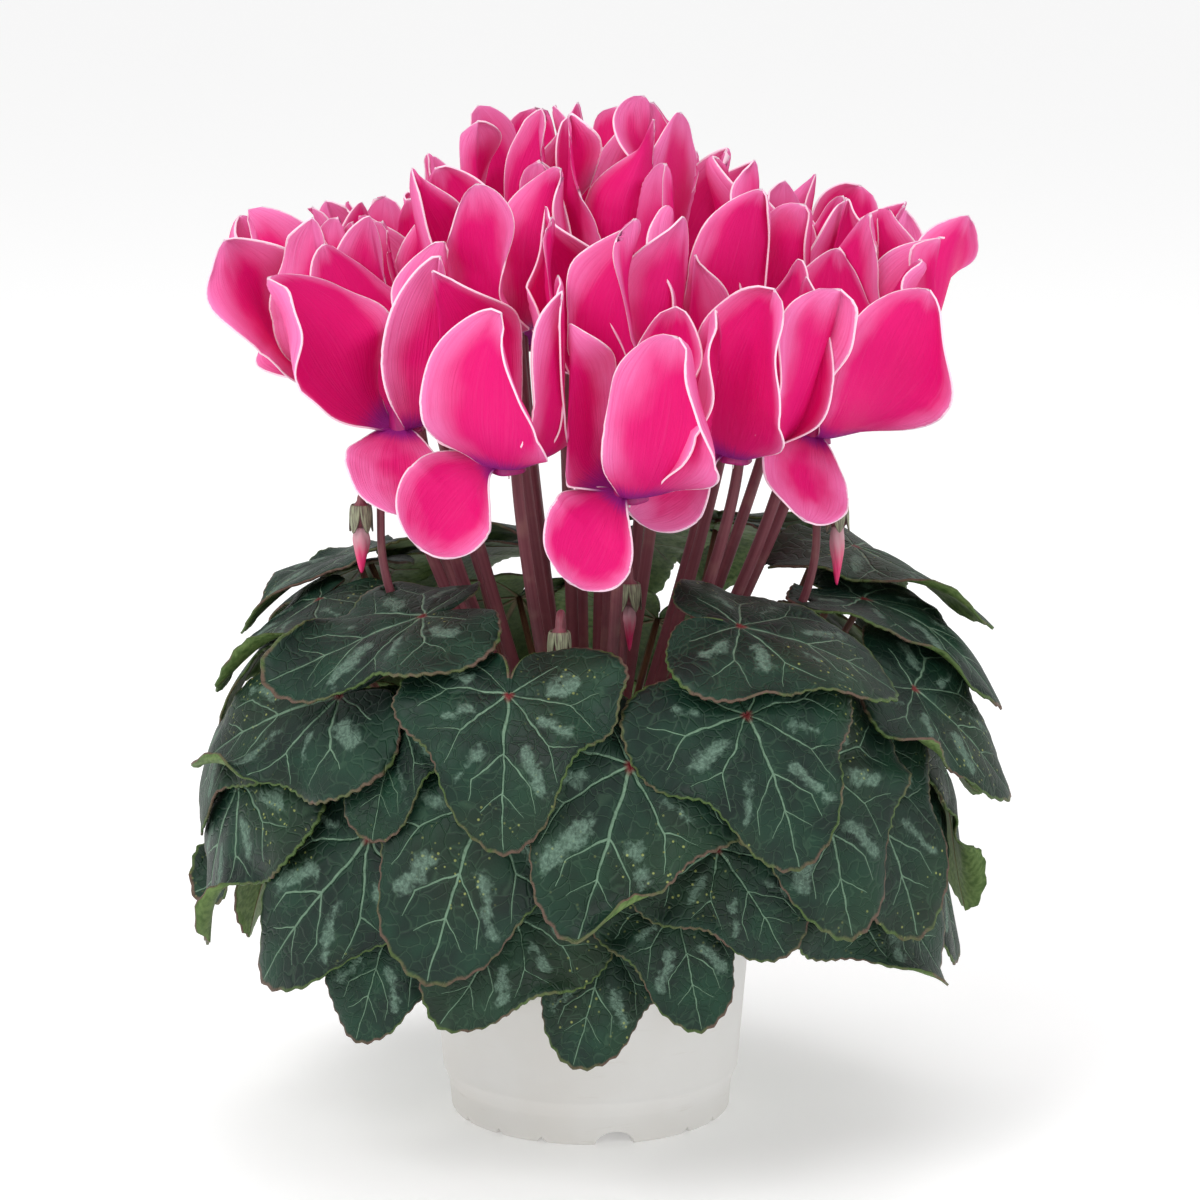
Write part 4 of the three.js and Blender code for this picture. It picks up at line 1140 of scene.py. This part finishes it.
def from_veins(x, y):
    """How far a point of the flat leaf is from its nearest main vein, in lengths of the leaf."""
    least = 1.0
    for (ax, ay), (bx, by), _, _ in MAIN_VEINS:
        length = hypot(bx - ax, by - ay)
        wx, wy = (bx - ax) / length, (by - ay) / length
        reach = min(max((x - ax) * wx + (y - ay) * wy, 0), length)
        least = min(least, hypot(x - ax - reach * wx, y - ay - reach * wy))
    return least


def leaf_point(leaf, angle, share, detail=True):
    """A point of a leaf's middle surface: share runs from its stalk to its edge."""
    size, a = MOUND["size"], radians(angle)
    flat = leaf_reach(leaf, angle, smooth_outline) * share
    roll = 0
    if detail:
        flat *= 1 + share ** 12 * sum(high * cos(count * a) for count, high in TEETH)
        flat *= 1 + share * sum(
            most * exp(-((abs(angle) - at) / width) ** 2) for at, width, most in LOBES)
        start = leaf_reach(leaf, angle, smooth_outline) * ROLL["from"]
        strength = rolled(leaf, angle)
        if strength > 0.02 and flat > start:
            bend = strength / ROLL["radius"]
            turned_by = min(bend * (flat - start), ROLL["most"])
            flat = start + sin(turned_by) / bend
            roll = (1 - cos(turned_by)) / bend
    d = leaf_direction(leaf, angle, flat)
    down = acos(max(min(d.z, 1), -1))
    bearing = atan2(d.x, -d.y)
    rise = MOUND["rise"] * size * (down - radians(leaf["down"]))
    common = MOUND["undulation"] * sum(
        high * sin(round_it * bearing + b) * sin(down_it * down + c)
        for high, round_it, b, down_it, c in UNDULATION)
    own = LEAF["wave"] * share * share * sin(3 * a + leaf["phase"])
    if detail:
        puff = from_veins(share * cos(a) * outline_at(abs(angle)), abs(share * sin(a)) * 0.6)
        own += 1.1 * min(puff / 0.09, 1) ** 0.7 * (1 - share ** 6)
        free = openness(leaf, angle)
        own += leaf["crease"] * share ** 2 * abs(sin(a)) * (0.3 + 0.7 * free)
        own += (0.7 + 2.2 * free) * share ** 3 * sin(5 * a + 2 * leaf["phase"])
        own += 0.6 * share ** 6 * sin(13 * a + 5 * leaf["phase"]) + roll
    square = MOUND["square"]
    squared = (abs(sin(down)) ** square + abs(cos(down)) ** square) ** (-1 / square)
    lift = squared + (leaf["layer"] + rise + common + own) / size
    return Vector((d.x * MOUND["radius"] * lift, d.y * MOUND["radius"] * lift - MOUND["forward"],
                   MOUND["z"] + d.z * MOUND["height"] * lift))


def smooth_outline(angle):
    return along(LEAF_OUTLINE, angle)


def openness(leaf, angle):
    """1 where no other blade lies over the leaf's edge, 0 where one does."""
    at = (angle + 180) / OPEN_STEP
    low = int(floor(at))
    first, second = (leaf["open"][k % len(leaf["open"])] for k in (low, low + 1))
    return first + (second - first) * (at - low)


def rolled(leaf, angle):
    """How tightly the leaf's edge is rolled up at an angle."""
    strength = 0
    for centre, width, most in leaf["rolls"]:
        off = abs(angle - centre) / width
        if off < 1:
            strength = max(strength, most * cos(off * pi / 2) ** 2)
    return strength


def look_over(found):
    """Finds where each blade's edge lies open, and rolls up some of those edges."""
    for leaf in found:
        leaf["open"] = []
        for angle in range(-180, 180, OPEN_STEP):
            d = leaf_direction(leaf, angle, leaf_reach(leaf, angle, outline_at))
            leaf["open"].append(0 if any(
                other["layer"] > leaf["layer"] and covers(other, d, 6) for other in found) else 1)
    for leaf in found:
        leaf["crease"] = looks.between(-1.5, 6)
        leaf["rolls"] = []
        for _ in range(3):
            centre, width = looks.between(-115, 115), looks.between(18, 34)
            most = looks.between(0.45, 1)
            clear = all(openness(leaf, centre + off) == 1 for off in (-width, 0, width))
            if clear and abs(centre) > 12 and not leaf["rolls"]:
                leaf["rolls"].append((centre, width, most))


def stalk_line(leaf):
    """A leaf stalk's middle line, with the radius at each station."""
    sector = sector_of(leaf["bearing"], LEAF_SECTORS)
    foot = STALK["foot"]
    start = polar(sector_bearing(sector, LEAF_SECTORS), foot, crown(foot) + STALK["lift"])
    end = leaf_point(leaf, 0, 0, False) - leaf["out"] * 0.2
    level = (end.z - start.z) / 90
    control = (start + end) / 2 + Vector((0, 0, 34 - 44 * level))
    control += polar(leaf["bearing"], 10 * level, 0)
    return tapered(STALK_STATIONS, start, control, end, STALK["base"], STALK["tip"])


def passing_tree():
    """Every stem and stalk as a crowd of points, to keep the blades clear of them."""
    points = []
    lines = [(None, bloom_stem(bloom)) for bloom in blooms] + [(None, bud_stem(b)) for b in BUDS]
    lines += [(leaf["index"], stalk_line(leaf)) for leaf in leaves]
    for owner, stations in lines:
        for (a, ra), (b, rb) in zip(stations, stations[1:]):
            count = max(round((b - a).length), 1)
            for k in range(count):
                points.append((a.lerp(b, k / count), ra + (rb - ra) * k / count, owner))
    tree = KDTree(len(points))
    for i, (at, _, _) in enumerate(points):
        tree.insert(at, i)
    tree.balance()
    return tree, points


def open_round(bm, verts, leaf, tree, points):
    """Opens a blade round what passes through it."""
    gone = []
    for vert in verts:
        if not vert.is_valid:
            continue
        here = vert.co / MM
        for _, index, off in tree.find_range(here, OPENING["search"]):
            _, radius, owner = points[index]
            if owner != leaf["index"] and off < radius + OPENING["room"]:
                gone.append(vert)
                break
    if gone:
        bmesh.ops.delete(bm, geom=gone, context="VERTS")


def make_leaves(sector, finishes):
    bm = bmesh.new()
    last = LEAF_OUTLINE[-1][0]
    for leaf in leaves:
        if sector_of(leaf["bearing"], LEAF_SECTORS) != sector:
            continue

        def mark(u, v, leaf=leaf):
            angle = radians((1 - 2 * u) * last)
            reach = v * smooth_outline(abs(degrees(angle)))
            flat = (reach * cos(angle) + FLAT_LEAF_BACK) / 2, (reach * sin(angle) + 1) / 2
            return flat, (v, leaf["own"])

        def place(u, v, leaf=leaf):
            return leaf_point(leaf, (1 - 2 * u) * last, v)

        verts = laid(bm, *LEAF_GRID, place, mark)
        bmesh.ops.remove_doubles(bm, verts=verts[:LEAF_GRID[0] + 1], dist=WELD)
        open_round(bm, verts, leaf, *passing)
        thicken(bm, verts, LEAF["thickness"], underside=1)
        make_tube(bm, stalk_line(leaf), STALK_SIDES, leaf["across"], finish=2)
    piece(f"leaves_{sector + 1:02d}", bm, finishes)


# ---- the plant

blooms = bloom_places()
leaves = leaf_places()
passing = passing_tree()

make_pot()
make_soil()
make_tuber()

stem = stem_finish()
sepal = streaked_finish("sepal_green", (16, 2, 0.7), plain_streaks,
                        colour(158, 166, 134), colour(84, 70, 62))
for sector in range(STEM_SECTORS):
    make_stems(sector, [stem, sepal])

pink = petal_finish("petal_pink", 8.0, 0.7)
throat = streaked_finish("throat_purple", (30, 2, 0.0), throat_streaks,
                         colour(130, 16, 100), colour(196, 30, 120), 2.0)
rosy_side = petal_finish("petal_inner_pink", 16.0, 0.95)
style_white = streaked_finish("style_white", (14, 2, 0.2), towards_tip,
                              colour(236, 226, 228), colour(250, 246, 240))
for k, bloom in enumerate(blooms):
    make_bloom(bloom, f"bloom_{k + 1:02d}", [pink, throat, style_white, rosy_side])

rosy = streaked_finish("bud_rose", (14, 2, 0.2), towards_tip,
                       colour(198, 150, 160), colour(226, 40, 110))
white = streaked_finish("bud_white", (14, 2, 0.2), towards_tip,
                        colour(150, 158, 110), colour(238, 238, 226))
for k, bud in enumerate(BUDS):
    make_bud(bud, f"bud_{k + 1:02d}", [white if bud["pale"] else rosy])

green, below = leaf_finish(), underside_finish()
stalk = streaked_finish("stalk_brown", (8, 4, 0.6), plain_streaks,
                        colour(92, 44, 46), colour(124, 92, 70))
for sector in range(LEAF_SECTORS):
    make_leaves(sector, [green, below, stalk])


# ---- floor, light and camera

def make_floor():
    bm = bmesh.new()
    bmesh.ops.create_grid(bm, x_segments=1, y_segments=1, size=FLOOR_REACH)
    mesh = bpy.data.meshes.new("floor")
    bm.to_mesh(mesh)
    bm.free()
    finish = Finish("floor_pale", Roughness=0.9, Specular_IOR_Level=0.1)
    finish.set(
        Base_Color=colour(252, 252, 252), Emission_Color=(1, 1, 1, 1), Emission_Strength=0.2)
    mesh.materials.append(finish.material)
    floor_object = bpy.data.objects.new("floor", mesh)
    floor_object.location.z = -FLOOR_DROP
    bpy.context.scene.collection.objects.link(floor_object)


def aim(thing, at, target):
    """Puts a camera or a light in its place and turns it to its target."""
    thing.location = at
    thing.rotation_euler = (Vector(target) - Vector(at)).to_track_quat("-Z", "Y").to_euler()
    bpy.context.scene.collection.objects.link(thing)


def soft_light(name, at, size, power):
    """A round light that shines on the plant's middle."""
    light = bpy.data.lights.new(name, "AREA")
    light.shape = "DISK"
    light.size = size
    light.energy = power
    aim(bpy.data.objects.new(name, light), at, LIGHT_TARGET)


make_floor()
for name, light in LIGHTS.items():
    soft_light(name, *light)

world = bpy.data.worlds.new("studio")
bpy.context.scene.world = world
world.use_nodes = True
background = world.node_tree.nodes["Background"].inputs
background["Color"].default_value = (1, 1, 1, 1)
background["Strength"].default_value = WORLD_STRENGTH
bpy.context.scene.view_settings.view_transform = "Standard"

lens = bpy.data.cameras.new("camera")
lens.lens, lens.sensor_width = CAMERA["lens"], CAMERA["sensor"]
camera = bpy.data.objects.new("camera", lens)
aim(camera, CAMERA["at"], CAMERA["target"])
bpy.context.scene.camera = camera
